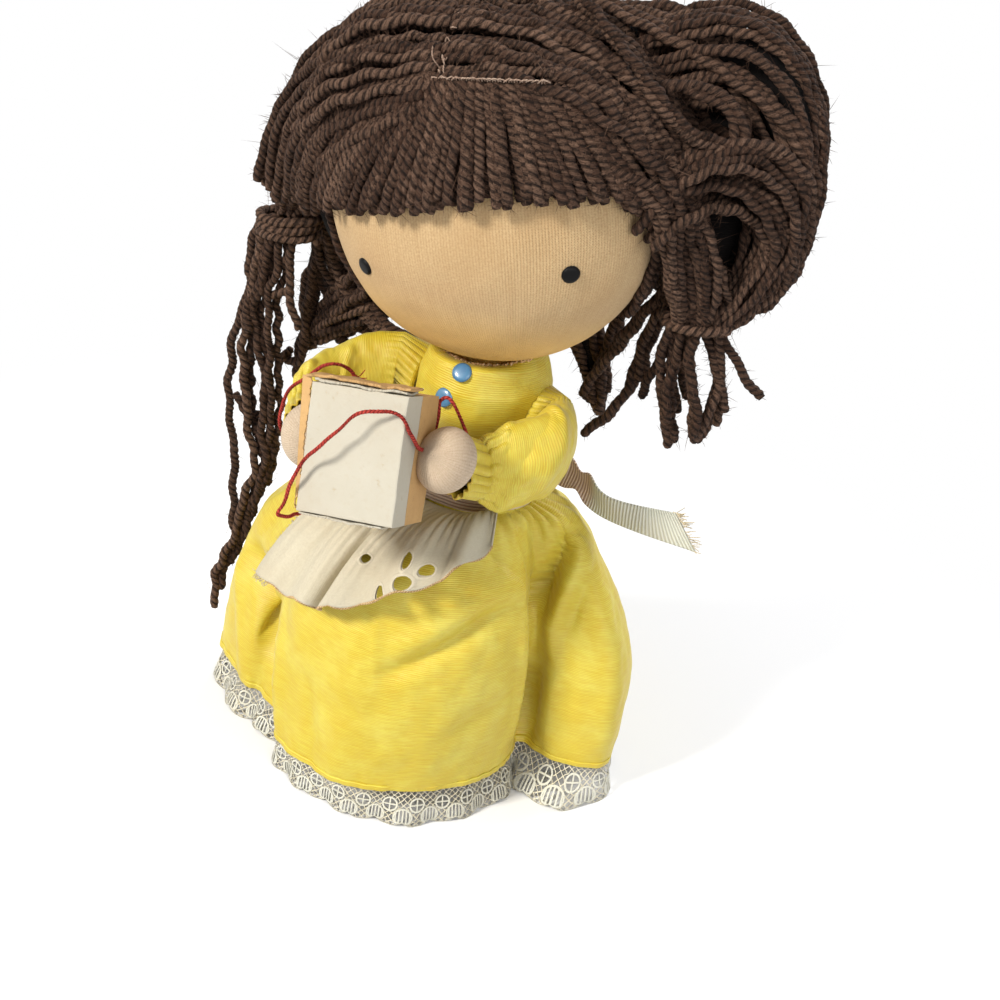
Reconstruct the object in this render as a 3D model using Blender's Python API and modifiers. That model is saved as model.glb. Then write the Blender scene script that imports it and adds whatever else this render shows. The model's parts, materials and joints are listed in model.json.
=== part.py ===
"""Pocket rag doll with yarn hair, a satin dress and a small parcel held in both hands.

The doll stands on the world's XY plane, faces -Y and has +Z up. Lengths are in metres. Every
soft part is built as it is sewn: a cover, the stuffing inside it and the clothes over it. The
moving parts hang on empties that lie on their joint axes.
"""
import math

import bmesh
import bpy
from mathutils import Matrix, Vector

# Clearances and cloth
GAP = 0.0003
KNIT = 0.0005
SATIN = 0.0006
SATIN_EASE = 0.0004
SEAM_EASE = 0.0003
CUTTER_OVERRUN = 0.02

# Torso, measured at its widest rings
TORSO_BOTTOM_Z = 0.0478
TORSO_TOP_Z = 0.0975
TORSO_HALF_WIDTH = 0.0128
TORSO_FRONT = 0.0160
TORSO_BACK = 0.0112
NECKLINE_RISE = 0.0027
TORSO_SIDES = 16

# Each row: height, half width, front, back and neckline rise, as shares
TORSO_RING_SHARES = (
    (0.000, 0.74, 0.47, 0.62, 0.0),
    (0.040, 1.05, 0.66, 0.89, 0.0),
    (0.130, 1.20, 0.78, 1.03, 0.0),
    (0.260, 1.12, 0.78, 1.00, 0.0),
    (0.400, 0.98, 0.75, 0.94, 0.0),
    (0.520, 0.98, 0.82, 0.96, 0.0),
    (0.680, 1.00, 0.92, 1.00, 0.0),
    (0.850, 1.00, 1.00, 1.00, 0.0),
    (0.940, 0.94, 1.03, 0.92, 0.25),
    (0.985, 0.82, 0.92, 0.80, 0.75),
    (1.000, 0.60, 0.58, 0.62, 0.45),
)
BODICE_BOTTOM_ROW = 4
STUFFING_TOP_ROW = 8
NECKLINE_ROW = 9
NECKLINE_STEP = 0.55

# Neck
NECK_RADIUS = 0.0058
NECK_BALL_RADIUS = 0.0068
NECK_Y = -0.0015
NECK_RISE = 0.0075
NECK_DEPTH = 0.0075
NECK_PIVOT_Z = TORSO_TOP_Z + NECK_RISE
NECK_FOOT_Z = TORSO_TOP_Z - NECK_DEPTH
NECK_SIDES = 20

# Head
HEAD_HALF_WIDTH = 0.0320
HEAD_HALF_DEPTH = 0.0245
HEAD_HALF_HEIGHT = 0.0305
HEAD_X = -0.0015
HEAD_Y = -0.0070
HEAD_SEAT_SHARE = 0.8754
HEAD_CENTRE = Vector((HEAD_X, HEAD_Y, NECK_PIVOT_Z + HEAD_SEAT_SHARE * HEAD_HALF_HEIGHT))
HEAD_TURN_DEG = 7.0
HEAD_TILT_DEG = -13.0
HEAD_COVER = 0.0008
NECK_HOLE_CLEARANCE = 0.0012
EYE_RADIUS = 0.0017
EYE_THICKNESS = 0.0006
EYE_AZIMUTH_DEG = 40.0
EYE_ELEVATION_DEG = -14.0

# Hair, a layer of yarn over the head and the masses that hang from it
YARN_LAYER = 0.0080
BANGS_LAYER = 0.0046
BANGS_EDGE_SHARE = 0.21
PART_FRONT_SHARE = 0.70
PART_SIDE_SHARE = 0.09
CAP_HEM_SHARE = 0.64
STITCH_RADIUS = 0.0004
STITCH_HALF_LENGTH = 0.0088
STITCH_ASIDE = 0.0075
TIE_RADIUS = 0.0008

# Arms, from the shoulder's disc to the hand's ball
SHOULDER_Y = -0.0020
SHOULDER_Z = 0.0875
SHOULDER_RADIUS = 0.0062
ARMHOLE_CLEARANCE = 0.0006
ARMHOLE_SIDES = 22
ARMHOLE_TURN_DEG = 5.0
ARM_HALF_WIDTH = 0.0034
ARM_HALF_HEIGHT = 0.0058
SLEEVE_HALF_WIDTH = 0.0046
SLEEVE_HALF_HEIGHT = 0.0092
SLEEVE_CROWN_RADIUS = 0.0076
HAND_RADIUS = 0.0056
HAND_HALF_HEIGHT = 0.0064
ELASTIC_RADIUS = 0.00045
LEFT_ELBOW_OUT = 0.0071
RIGHT_ELBOW_OUT = 0.0132
ELBOW_DROP = 0.0048
ARM_SIDES = 12

# Each row: way to the hand, elbow out, elbow drop, yaw in degrees, arm size and sleeve size
LEFT_ARM_RING_SHARES = (
    (0.092, 0.72, 0.08, -35.0, 1.00, 0.94),
    (0.197, 0.95, 0.28, -70.0, 0.98, 0.98),
    (0.325, 1.00, 0.46, -95.0, 0.96, 1.00),
    (0.459, 0.72, 0.70, -118.0, 0.96, 0.98),
    (0.577, 0.34, 0.94, -125.0, 0.94, 0.88),
    (0.682, 0.08, 1.00, -117.0, 0.82, 0.00),
)
RIGHT_ARM_RING_SHARES = (
    (0.035, 0.40, -0.10, 195.0, 1.12, 1.00),
    (0.117, 0.71, -0.12, 210.0, 1.16, 0.96),
    (0.250, 0.94, 0.10, 228.0, 1.18, 0.92),
    (0.424, 1.00, 0.42, 250.0, 1.16, 0.90),
    (0.585, 0.91, 0.62, 272.0, 1.08, 0.86),
    (0.720, 0.64, 0.68, 290.0, 0.84, 0.00),
)
WRIST_SHARES = (0.80, 0.30)
HAND_RING_SHARES = (-0.62, -0.22, 0.25, 0.68, 0.95)

# Parcel, a lid pushed over the open front of a tray
BOX_CENTRE = Vector((-0.0059, -0.0400, 0.0903))
BOX_WIDTH = 0.0199
BOX_HEIGHT = 0.0238
BOX_DEPTH = 0.0154
BOX_YAW_DEG = 8.6
BOX_PITCH_DEG = -21.7
BOX_ROLL_DEG = -8.6
CARD = 0.0007
LID_DEPTH = 0.0062
HAND_BACK_SHARE = 0.34
HAND_LOW_SHARE = 0.12
HAND_PRESS = 0.0010
STRING_RADIUS = 0.00045

# Skirt and its lace
WAIST_SHARE = 0.3964
SKIRT_TOP_Z = TORSO_BOTTOM_Z + WAIST_SHARE * (TORSO_TOP_Z - TORSO_BOTTOM_Z)
HEM_Z = 0.0090
HEM_HALF_WIDTH = 0.0500
HEM_HALF_DEPTH = 0.0360
SKIRT_COLUMNS = 44
LACE_THICKNESS = 0.0006
LACE_LAP = 0.0016
LACE_SCALLOP = 0.0011
LACE_SET_BACK = 0.0009
LACE_FLARE = 0.0045

# Each row: hem x and y as shares, the waist angle in degrees, and the lace's flare as a share
HEM_OUTLINE_SHARES = (
    (-1.04, -0.28, 186.0, 0.4),
    (-0.92, -0.42, 198.0, 0.6),
    (-0.78, -0.57, 208.0, 0.5),
    (-0.68, -0.57, 218.0, 0.6),
    (-0.56, -0.75, 228.0, 0.3),
    (-0.40, -0.93, 240.0, 0.1),
    (-0.22, -1.00, 252.0, 0.1),
    (-0.06, -1.01, 264.0, 0.1),
    (0.10, -0.94, 276.0, 0.3),
    (0.24, -0.82, 288.0, 0.4),
    (0.36, -0.63, 302.0, 0.4),
    (0.44, -0.40, 318.0, 0.5),
    (0.45, -0.20, 334.0, 0.6),
    (0.44, -0.07, 344.0, 0.5),
    (0.54, -0.07, 352.0, 1.5),
    (0.70, -0.06, 360.0, 1.5),
    (0.83, 0.03, 368.0, 0.6),
    (0.82, 0.25, 378.0, 0.4),
    (0.73, 0.47, 390.0, 0.4),
    (0.61, 0.58, 402.0, 0.4),
    (0.50, 0.57, 412.0, 0.4),
    (0.40, 0.75, 422.0, 0.4),
    (0.22, 0.80, 432.0, 0.4),
    (0.08, 0.71, 442.0, 0.4),
    (-0.08, 0.78, 452.0, 0.4),
    (-0.26, 0.83, 462.0, 0.4),
    (-0.40, 0.71, 474.0, 0.4),
    (-0.56, 0.75, 486.0, 0.4),
    (-0.76, 0.69, 498.0, 0.4),
    (-0.88, 0.47, 510.0, 0.4),
    (-1.02, 0.28, 522.0, 0.4),
    (-1.07, 0.00, 534.0, 0.4),
)
# Flare from waist to hem down each side, as shares
SKIRT_DROP_SHARES = (0.0, 0.03, 0.09, 0.20, 0.36, 0.56, 0.78, 1.0)
SKIRT_FRONT_SHARES = (0.0, 0.22, 0.50, 0.81, 0.96, 1.02, 1.02, 1.0)
SKIRT_RIGHT_SHARES = (0.0, 0.26, 0.44, 0.63, 0.82, 0.89, 0.97, 1.0)
SKIRT_LEFT_SHARES = (0.0, 0.30, 0.42, 0.58, 0.79, 0.95, 1.01, 1.0)
SKIRT_BACK_SHARES = (0.0, 0.25, 0.45, 0.64, 0.83, 0.92, 0.98, 1.0)

# Apron, gathered under the ribbon and standing out over the skirt
APRON_RISE = 0.0015
APRON_TOP_Z = SKIRT_TOP_Z + APRON_RISE
APRON_THICKNESS = 0.0004
APRON_REACH = 0.0250
APRON_DROP = 0.0200
APRON_CROWN = 0.0050
APRON_RUFFLE = 0.0009
APRON_RUFFLES = 5
APRON_COLUMNS = 20
APRON_ROWS = 4

# Each row: waist angle in degrees, then the lower edge's x, y and z as shares
APRON_EDGE_SHARES = (
    (222.0, -0.82, -0.85, -1.02),
    (238.0, -0.52, -0.98, -0.90),
    (254.0, -0.36, -1.00, -0.82),
    (270.0, -0.28, -1.00, -0.68),
    (286.0, -0.02, -0.94, -0.36),
    (302.0, 0.14, -0.78, -0.12),
    (316.0, 0.20, -0.52, 0.06),
)

# Ribbon round the waist, its knot and its two tails
RIBBON_THICKNESS = 0.0005
RIBBON_BAND = 0.0040
RIBBON_WIDTH = 0.0070
KNOT_HALF_WIDTH = 0.0036
KNOT_HALF_DEPTH = 0.0018
KNOT_HALF_HEIGHT = 0.0034
TAIL_REACH = 0.0400

# Buttons
BUTTON_RADIUS = 0.0022
BUTTON_DOME = 0.0012
BUTTON_ROWS = (7.80, 8.80)
BUTTON_SIDE_SHARES = (-0.13, 0.0)
TRIM_RADIUS = 0.0007

# Legs, from the hip's dome to the flat sole
HIP_X = 0.0078
HIP_Z = 0.0412
HIP_RADIUS = 0.0063
LEG_SIDES = 12

# Each row: height as a share of the hip's height, then half width, half length and toe offset
LEG_RING_SHARES = (
    (0.00, 0.70, 1.10, 0.55),
    (0.06, 0.86, 1.30, 0.62),
    (0.15, 0.88, 1.24, 0.56),
    (0.24, 0.82, 0.98, 0.30),
    (0.34, 0.78, 0.80, 0.06),
    (0.60, 0.88, 0.88, 0.00),
    (0.85, 0.97, 0.97, 0.00),
    (1.00, 1.00, 1.00, 0.00),
)
DOME_ANGLES_DEG = (28.0, 52.0, 69.0)


def clear_scene():
    """Empty the file of objects and of the collections they were in."""
    for old in list(bpy.data.objects):
        bpy.data.objects.remove(old, do_unlink=True)
    for old in list(bpy.data.collections):
        bpy.data.collections.remove(old)


def new_collection(name):
    made = bpy.data.collections.new(name)
    bpy.context.scene.collection.children.link(made)
    return made


def new_material(name, colour, roughness, metallic=0.0):
    made = bpy.data.materials.new(name)
    made.use_nodes = True
    shader = made.node_tree.nodes["Principled BSDF"]
    shader.inputs["Base Color"].default_value = (*colour, 1.0)
    shader.inputs["Roughness"].default_value = roughness
    shader.inputs["Metallic"].default_value = metallic
    made.diffuse_color = (*colour, 1.0)
    return made


def new_empty(name, place, parent):
    """Add an empty at a joint; what moves with the joint is parented to it."""
    made = bpy.data.objects.new(name, None)
    made.empty_display_size = NECK_RADIUS
    made.location = place
    PARTS.objects.link(made)
    if parent:
        made.parent = parent
        bpy.context.view_layer.update()
        made.matrix_parent_inverse = parent.matrix_world.inverted()
    bpy.context.view_layer.update()
    return made


def add_object(name, data, material, parent, placed=None, collection=None):
    """Add one named object and hang it on its empty without moving it."""
    made = bpy.data.objects.new(name, data)
    (collection or PARTS).objects.link(made)
    made.matrix_world = placed or Matrix.Identity(4)
    if material:
        data.materials.append(material)
    if parent:
        made.parent = parent
        made.matrix_parent_inverse = parent.matrix_world.inverted()
    return made


def mesh_of(bm, name, smooth=True):
    bmesh.ops.recalc_face_normals(bm, faces=bm.faces)
    made = bpy.data.meshes.new(name)
    bm.to_mesh(made)
    bm.free()
    if smooth:
        made.shade_smooth()
    return made


def ring_mesh(name, rings, close_start=True, close_end=True):
    """Skin a row of closed rings, each with as many points as the next."""
    bm = bmesh.new()
    rows = [[bm.verts.new(point) for point in ring] for ring in rings]
    sides = len(rows[0])
    for lower, upper in zip(rows, rows[1:]):
        for side in range(sides):
            after = (side + 1) % sides
            bm.faces.new((lower[side], lower[after], upper[after], upper[side]))
    if close_start:
        bm.faces.new(reversed(rows[0]))
    if close_end:
        bm.faces.new(rows[-1])
    mesh = mesh_of(bm, name)
    if not (close_start or close_end):
        face_outwards(mesh, rings)
    return mesh


def face_outwards(mesh, rings):
    """Turn an open tube's faces away from its middle line."""
    middle = sum((Vector(p) for p in rings[0] + rings[1]), Vector()) / (2 * len(rings[0]))
    face = mesh.polygons[0]
    if face.normal.dot(Vector(face.center) - middle) < 0.0:
        mesh.flip_normals()


def sheet_mesh(name, grid):
    """Skin an open grid of points."""
    bm = bmesh.new()
    rows = [[bm.verts.new(point) for point in row] for row in grid]
    for lower, upper in zip(rows, rows[1:]):
        for column in range(len(lower) - 1):
            bm.faces.new((lower[column], lower[column + 1], upper[column + 1], upper[column]))
    return mesh_of(bm, name)


def thicken(piece, thickness, offset, even=True):
    """Give an open surface its thickness: offset 1 grows outwards, -1 inwards."""
    shell = piece.modifiers.new("thickness", "SOLIDIFY")
    shell.thickness = thickness
    shell.offset = offset
    shell.use_even_offset = even
    return piece


def cut(piece, cutter):
    """Subtract a cutter; the piece's faces are made flat first."""
    if "flat_faces" not in piece.modifiers:
        piece.modifiers.new("flat_faces", "TRIANGULATE")
    boolean = piece.modifiers.new("cut", "BOOLEAN")
    boolean.operation = "DIFFERENCE"
    boolean.solver = "EXACT"
    boolean.object = cutter
    return piece


def add_cutter(name, mesh, placed=None):
    made = add_object(name, mesh, None, DOLL, placed, CUTTERS)
    made.hide_render = True
    made.display_type = "WIRE"
    return made


def ellipsoid_mesh(name, half_sizes, segments, rings):
    bm = bmesh.new()
    bmesh.ops.create_uvsphere(bm, u_segments=segments, v_segments=rings, radius=1.0)
    bmesh.ops.scale(bm, vec=half_sizes, verts=bm.verts)
    return mesh_of(bm, name)


def block_mesh(name, low, high):
    """A box between two corners."""
    bm = bmesh.new()
    bmesh.ops.create_cube(bm, size=1.0)
    size = Vector(high) - Vector(low)
    bmesh.ops.scale(bm, vec=size, verts=bm.verts)
    bmesh.ops.translate(bm, vec=(Vector(high) + Vector(low)) / 2, verts=bm.verts)
    return mesh_of(bm, name, smooth=False)


def thread(name, points, radius, material, parent, closed=False, sides_step=1, placed=None):
    """A round thread through its points; closed threads have no ends."""
    curve = bpy.data.curves.new(name, "CURVE")
    curve.dimensions = "3D"
    spline = curve.splines.new("POLY")
    spline.points.add(len(points) - 1)
    for knot, point in zip(spline.points, points):
        knot.co = (*point, 1.0)
    spline.use_cyclic_u = closed
    curve.bevel_depth = radius
    curve.bevel_resolution = sides_step
    curve.use_fill_caps = not closed
    return add_object(name, curve, material, parent, placed)


def catmull(points, t):
    """A closed smooth curve through the points; t runs from 0 to their number."""
    count = len(points)
    step = int(math.floor(t)) % count
    f = t - math.floor(t)
    p0, p1, p2, p3 = (points[(step + k - 1) % count] for k in range(4))
    return [0.5 * (2 * b + (c - a) * f + (2 * a - 5 * b + 4 * c - d) * f * f
                   + (3 * b - a - 3 * c + d) * f ** 3) for a, b, c, d in zip(p0, p1, p2, p3)]


def smooth_route(points, steps):
    """An open smooth curve through the points, with even steps between each pair."""
    padded = [points[0]] + list(points) + [points[-1]]
    route = []
    for first in range(len(points) - 1):
        p0, p1, p2, p3 = (Vector(p) for p in padded[first:first + 4])
        for k in range(steps):
            f = k / steps
            route.append(0.5 * (2 * p1 + (p2 - p0) * f + (2 * p0 - 5 * p1 + 4 * p2 - p3) * f * f
                                + (3 * p1 - p0 - 3 * p2 + p3) * f ** 3))
    return route + [Vector(points[-1])]


def table_value(shares, columns, at):
    """Read a row of shares between its columns."""
    for k in range(len(columns) - 1):
        if at <= columns[k + 1]:
            f = (at - columns[k]) / (columns[k + 1] - columns[k])
            return shares[k] + (shares[k + 1] - shares[k]) * f
    return shares[-1]


def oval_point(half_width, front, back, angle):
    depth = front if math.sin(angle) < 0.0 else back
    return Vector((half_width * math.cos(angle), depth * math.sin(angle), 0.0))


def torso_row(row):
    """Interpolate the torso's table at a row that may lie between two of them."""
    low = min(int(row), len(TORSO_RING_SHARES) - 2)
    f = row - low
    return [a + (b - a) * f for a, b in zip(TORSO_RING_SHARES[low], TORSO_RING_SHARES[low + 1])]


def torso_point(row, angle, grow=0.0, lift=0.0):
    """A point on the torso at a row and an angle, moved outwards by grow."""
    height, width, front, back, rise = torso_row(row)
    point = oval_point(width * TORSO_HALF_WIDTH + grow, front * TORSO_FRONT + grow,
                       back * TORSO_BACK + grow, angle)
    frontness = max(0.0, -math.sin(angle)) ** 2
    point.z = TORSO_BOTTOM_Z + height * (TORSO_TOP_Z - TORSO_BOTTOM_Z)
    point.z += rise * NECKLINE_RISE * frontness + lift
    return point


def torso_ring(row, grow, lift=0.0):
    turns = [2 * math.pi * k / TORSO_SIDES for k in range(TORSO_SIDES)]
    return [torso_point(row, turn, grow, lift) for turn in turns]


def torso_rings(first, last, grow):
    return [torso_ring(row, grow) for row in range(first, last + 1)]


def add_torso():
    """The stuffed body: a knit cover, open at the neck, round its stuffing."""
    top = len(TORSO_RING_SHARES) - 1
    cover = ring_mesh("torso_cover", torso_rings(0, top, 0.0), True, False)
    cover_piece = add_object("torso_cover", cover, FLEECE, DOLL)
    thicken(cover_piece, KNIT, -1.0)
    inside = torso_rings(0, STUFFING_TOP_ROW, -KNIT - SEAM_EASE)
    for point in inside[0] + inside[1]:
        point.z += KNIT + SEAM_EASE
    for point in inside[-1]:
        point.z -= KNIT + SEAM_EASE
    stuffing = add_object("torso_stuffing", ring_mesh("torso_stuffing", inside), FIBRE, DOLL)
    pocket = ring_cutter("neck_pocket", NECK_RADIUS + GAP, NECK_FOOT_Z - GAP,
                         TORSO_TOP_Z + CUTTER_OVERRUN)
    cut(stuffing, pocket)


def ring_cutter(name, radius, low, high, sides=NECK_SIDES):
    bm = bmesh.new()
    bmesh.ops.create_cone(bm, cap_ends=True, segments=sides, radius1=radius, radius2=radius,
                          depth=high - low)
    bmesh.ops.translate(bm, vec=(0.0, NECK_Y, (high + low) / 2), verts=bm.verts)
    return add_cutter(name, mesh_of(bm, name, smooth=False))


def add_bodice():
    """The dress's satin bodice, with an armhole on each side."""
    grow = SATIN_EASE
    rings = torso_rings(BODICE_BOTTOM_ROW, NECKLINE_ROW, grow)
    rings.append(torso_ring(NECKLINE_ROW + NECKLINE_STEP, grow, SATIN_EASE))
    for point in rings[0]:
        point.z = SKIRT_TOP_Z + SATIN + GAP
    bodice = add_object("bodice", ring_mesh("bodice", rings, False, False), SATIN_CLOTH, DOLL)
    thicken(bodice, SATIN, 1.0)
    bm = bmesh.new()
    bmesh.ops.create_cone(bm, cap_ends=True, segments=ARMHOLE_SIDES,
                          radius1=SHOULDER_RADIUS + ARMHOLE_CLEARANCE,
                          radius2=SHOULDER_RADIUS + ARMHOLE_CLEARANCE,
                          depth=2 * (TORSO_HALF_WIDTH + CUTTER_OVERRUN))
    turn = Matrix.Rotation(math.pi / 2, 3, "Y") @ Matrix.Rotation(math.radians(ARMHOLE_TURN_DEG), 3, "Z")
    bmesh.ops.rotate(bm, matrix=turn, verts=bm.verts)
    bmesh.ops.translate(bm, vec=(0.0, SHOULDER_Y, SHOULDER_Z), verts=bm.verts)
    cut(bodice, add_cutter("armholes", mesh_of(bm, "armholes", smooth=False)))


def add_collar():
    """A braided trim sewn round the outside of the neckline."""
    grow = SATIN_EASE + SATIN + GAP + TRIM_RADIUS
    count = 2 * TORSO_SIDES
    row = NECKLINE_ROW + NECKLINE_STEP
    points = [torso_point(row, 2 * math.pi * k / count, SATIN_EASE, grow) for k in range(count)]
    thread("collar_trim", points, TRIM_RADIUS, BRAID, DOLL, closed=True)


def add_button(name, row, side_share):
    """A domed button that lies on the bodice's front."""
    grow = SATIN_EASE + SATIN + 2 * GAP
    angle = -math.pi / 2 + side_share
    place = torso_point(row, angle, grow)
    up = torso_point(row + 0.3, angle, grow) - torso_point(row - 0.3, angle, grow)
    side = torso_point(row, angle + 0.1, grow) - torso_point(row, angle - 0.1, grow)
    normal = side.cross(up).normalized()
    bm = bmesh.new()
    profile = [(0.0, BUTTON_DOME), (BUTTON_RADIUS * 0.55, BUTTON_DOME * 0.86),
               (BUTTON_RADIUS * 0.90, BUTTON_DOME * 0.45), (BUTTON_RADIUS, BUTTON_DOME * 0.12),
               (BUTTON_RADIUS * 0.90, 0.0), (0.0, 0.0)]
    verts = [bm.verts.new((x, 0.0, z)) for x, z in profile]
    for first, second in zip(verts, verts[1:]):
        bm.edges.new((first, second))
    mesh = bpy.data.meshes.new(name)
    bm.to_mesh(mesh)
    bm.free()
    placed = Matrix.Translation(place) @ normal.to_track_quat("Z", "Y").to_matrix().to_4x4()
    button = add_object(name, mesh, PEARL, DOLL, placed)
    turned = button.modifiers.new("turned", "SCREW")
    turned.steps = TORSO_SIDES
    turned.render_steps = TORSO_SIDES
    turned.use_merge_vertices = True
    turned.merge_threshold = BUTTON_DOME / 100
    turned.use_normal_calculate = True


def add_neck():
    """The neck's stuffed plug: round in the torso, a ball where the head nods on it."""
    low_angle = -math.acos(NECK_RADIUS / NECK_BALL_RADIUS)
    profile = [(NECK_RADIUS, NECK_FOOT_Z)]
    steps = 5
    for k in range(steps + 1):
        angle = low_angle + (math.pi / 2 - low_angle) * k / (steps + 1)
        profile.append((NECK_BALL_RADIUS * math.cos(angle),
                        NECK_PIVOT_Z + NECK_BALL_RADIUS * math.sin(angle)))
    turns = [2 * math.pi * k / NECK_SIDES for k in range(NECK_SIDES)]
    rings = [[Vector((r * math.cos(a), NECK_Y + r * math.sin(a), z)) for a in turns]
             for r, z in profile]
    add_object("neck_plug", ring_mesh("neck_plug", rings), FLEECE, NECK_TURN)


def head_placed():
    turn = Matrix.Rotation(math.radians(HEAD_TURN_DEG), 4, "Z")
    tilt = Matrix.Rotation(math.radians(HEAD_TILT_DEG), 4, "Y")
    return Matrix.Translation(HEAD_CENTRE) @ turn @ tilt


def head_half_sizes(grow):
    return (HEAD_HALF_WIDTH + grow, HEAD_HALF_DEPTH + grow, HEAD_HALF_HEIGHT + grow)


def head_point(azimuth_deg, elevation_deg, grow):
    """A point on the grown head in the head's own frame; azimuth 0 is the face's middle."""
    a, b, c = head_half_sizes(grow)
    lon, lat = math.radians(azimuth_deg), math.radians(elevation_deg)
    return Vector((a * math.cos(lat) * math.sin(lon), -b * math.cos(lat) * math.cos(lon),
                   c * math.sin(lat)))


def head_normal(azimuth_deg, elevation_deg):
    point = head_point(azimuth_deg, elevation_deg, 0.0)
    a, b, c = head_half_sizes(0.0)
    return Vector((point.x / a ** 2, point.y / b ** 2, point.z / c ** 2)).normalized()


def add_head():
    """The head's knit cover and its stuffing, both open where the neck goes in."""
    placed = head_placed()
    hole = NECK_BALL_RADIUS + NECK_HOLE_CLEARANCE
    pivot = Matrix.Translation((0.0, NECK_Y, NECK_PIVOT_Z))
    opening = add_cutter("neck_opening", ellipsoid_mesh("neck_opening", (hole,) * 3, 20, 12), pivot)
    socket = NECK_BALL_RADIUS + GAP
    ball = add_cutter("neck_socket", ellipsoid_mesh("neck_socket", (socket,) * 3, 20, 12), pivot)
    outer = ellipsoid_mesh("head_cover", head_half_sizes(0.0), 22, 12)
    hollow_mesh = ellipsoid_mesh("head_hollow", head_half_sizes(-HEAD_COVER), 22, 12)
    hollow = add_cutter("head_hollow", hollow_mesh, placed)
    cover = add_object("head_cover", outer, FLEECE, HEAD_NOD, placed)
    cut(cover, hollow)
    cut(cover, opening)
    fibre = ellipsoid_mesh("head_stuffing", head_half_sizes(-HEAD_COVER - GAP), 22, 12)
    stuffing = add_object("head_stuffing", fibre, FIBRE, HEAD_NOD, placed)
    cut(stuffing, ball)
    for name, side in (("eye_right", -1.0), ("eye_left", 1.0)):
        add_eye(name, side * EYE_AZIMUTH_DEG, placed)


def add_eye(name, azimuth_deg, head):
    """A flat round bead sewn on the face."""
    bm = bmesh.new()
    bmesh.ops.create_cone(bm, cap_ends=True, segments=16, radius1=EYE_RADIUS,
                          radius2=EYE_RADIUS * 0.8, depth=EYE_THICKNESS)
    bmesh.ops.translate(bm, vec=(0.0, 0.0, EYE_THICKNESS / 2), verts=bm.verts)
    place = head_point(azimuth_deg, EYE_ELEVATION_DEG, GAP)
    facing = head_normal(azimuth_deg, EYE_ELEVATION_DEG).to_track_quat("Z", "Y")
    placed = head @ Matrix.Translation(place) @ facing.to_matrix().to_4x4()
    add_object(name, mesh_of(bm, name, smooth=False), BEAD, HEAD_NOD, placed)


def part_plane_y(height):
    """Where the parting crosses the head, front to back, at a height in the head's frame."""
    front = -PART_FRONT_SHARE * HEAD_HALF_DEPTH
    side = -PART_SIDE_SHARE * HEAD_HALF_DEPTH
    crown = math.sqrt(1.0 - PART_FRONT_SHARE ** 2) * HEAD_HALF_HEIGHT
    return side + (front - side) * height / crown


def add_half_cutter(name, keep_back):
    """A slanted block that takes away what lies before, or behind, the parting."""
    reach = HEAD_HALF_WIDTH + CUTTER_OVERRUN
    far = reach if keep_back else -reach
    edge = GAP / 2 if keep_back else -GAP / 2
    bm = bmesh.new()
    corners = []
    for x in (-reach, reach):
        for height in (-reach, reach):
            near = part_plane_y(height) + edge
            corners.append((Vector((x, near, height)), Vector((x, -far, height))))
    loop = [corners[0], corners[1], corners[3], corners[2]]
    near_verts = [bm.verts.new(pair[0]) for pair in loop]
    far_verts = [bm.verts.new(pair[1]) for pair in loop]
    bm.faces.new(near_verts)
    bm.faces.new(far_verts)
    for k in range(4):
        after = (k + 1) % 4
        bm.faces.new((near_verts[k], near_verts[after], far_verts[after], far_verts[k]))
    return add_cutter(name, mesh_of(bm, name, smooth=False), head_placed())


def add_hair_cap():
    """The layer of yarn over the crown and back, and the bangs before the parting."""
    placed = head_placed()
    reach = HEAD_HALF_WIDTH + CUTTER_OVERRUN
    clear = ellipsoid_mesh("under_hair", head_half_sizes(GAP), 26, 14)
    inner = add_cutter("under_hair", clear, placed)
    cap_edge = -CAP_HEM_SHARE * HEAD_HALF_HEIGHT
    below = block_mesh("below_cap", (-reach, -reach, -2 * reach), (reach, reach, cap_edge))
    cap = ellipsoid_mesh("hair_cap", head_half_sizes(YARN_LAYER), 26, 14)
    piece = add_object("hair_cap", cap, YARN, HEAD_NOD, placed)
    cut(piece, inner)
    cut(piece, add_half_cutter("before_part", True))
    cut(piece, add_cutter("below_cap", below, placed))
    fringe_edge = BANGS_EDGE_SHARE * HEAD_HALF_HEIGHT
    under = block_mesh("below_bangs", (-reach, -reach, -2 * reach), (reach, reach, fringe_edge))
    bangs_mesh = ellipsoid_mesh("bangs", head_half_sizes(BANGS_LAYER), 26, 14)
    bangs = add_object("bangs", bangs_mesh, YARN, HEAD_NOD, placed)
    cut(bangs, inner)
    cut(bangs, add_half_cutter("behind_part", False))
    cut(bangs, add_cutter("below_bangs", under, placed))
    points = []
    steps = 8
    for k in range(steps + 1):
        across = STITCH_ASIDE + STITCH_HALF_LENGTH * (2 * k / steps - 1)
        points.append(on_part(across, YARN_LAYER + GAP + STITCH_RADIUS))
    thread("parting_stitch", points, STITCH_RADIUS, COTTON, HEAD_NOD, placed=placed)


def on_part(across, grow):
    """The point of the parting's line on the grown head, at a distance from the middle."""
    a, b, c = head_half_sizes(grow)
    height = c
    for _ in range(12):
        y = part_plane_y(height)
        height = c * math.sqrt(max(0.0, 1.0 - (across / a) ** 2 - (y / b) ** 2))
    return Vector((across, part_plane_y(height), height))


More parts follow.
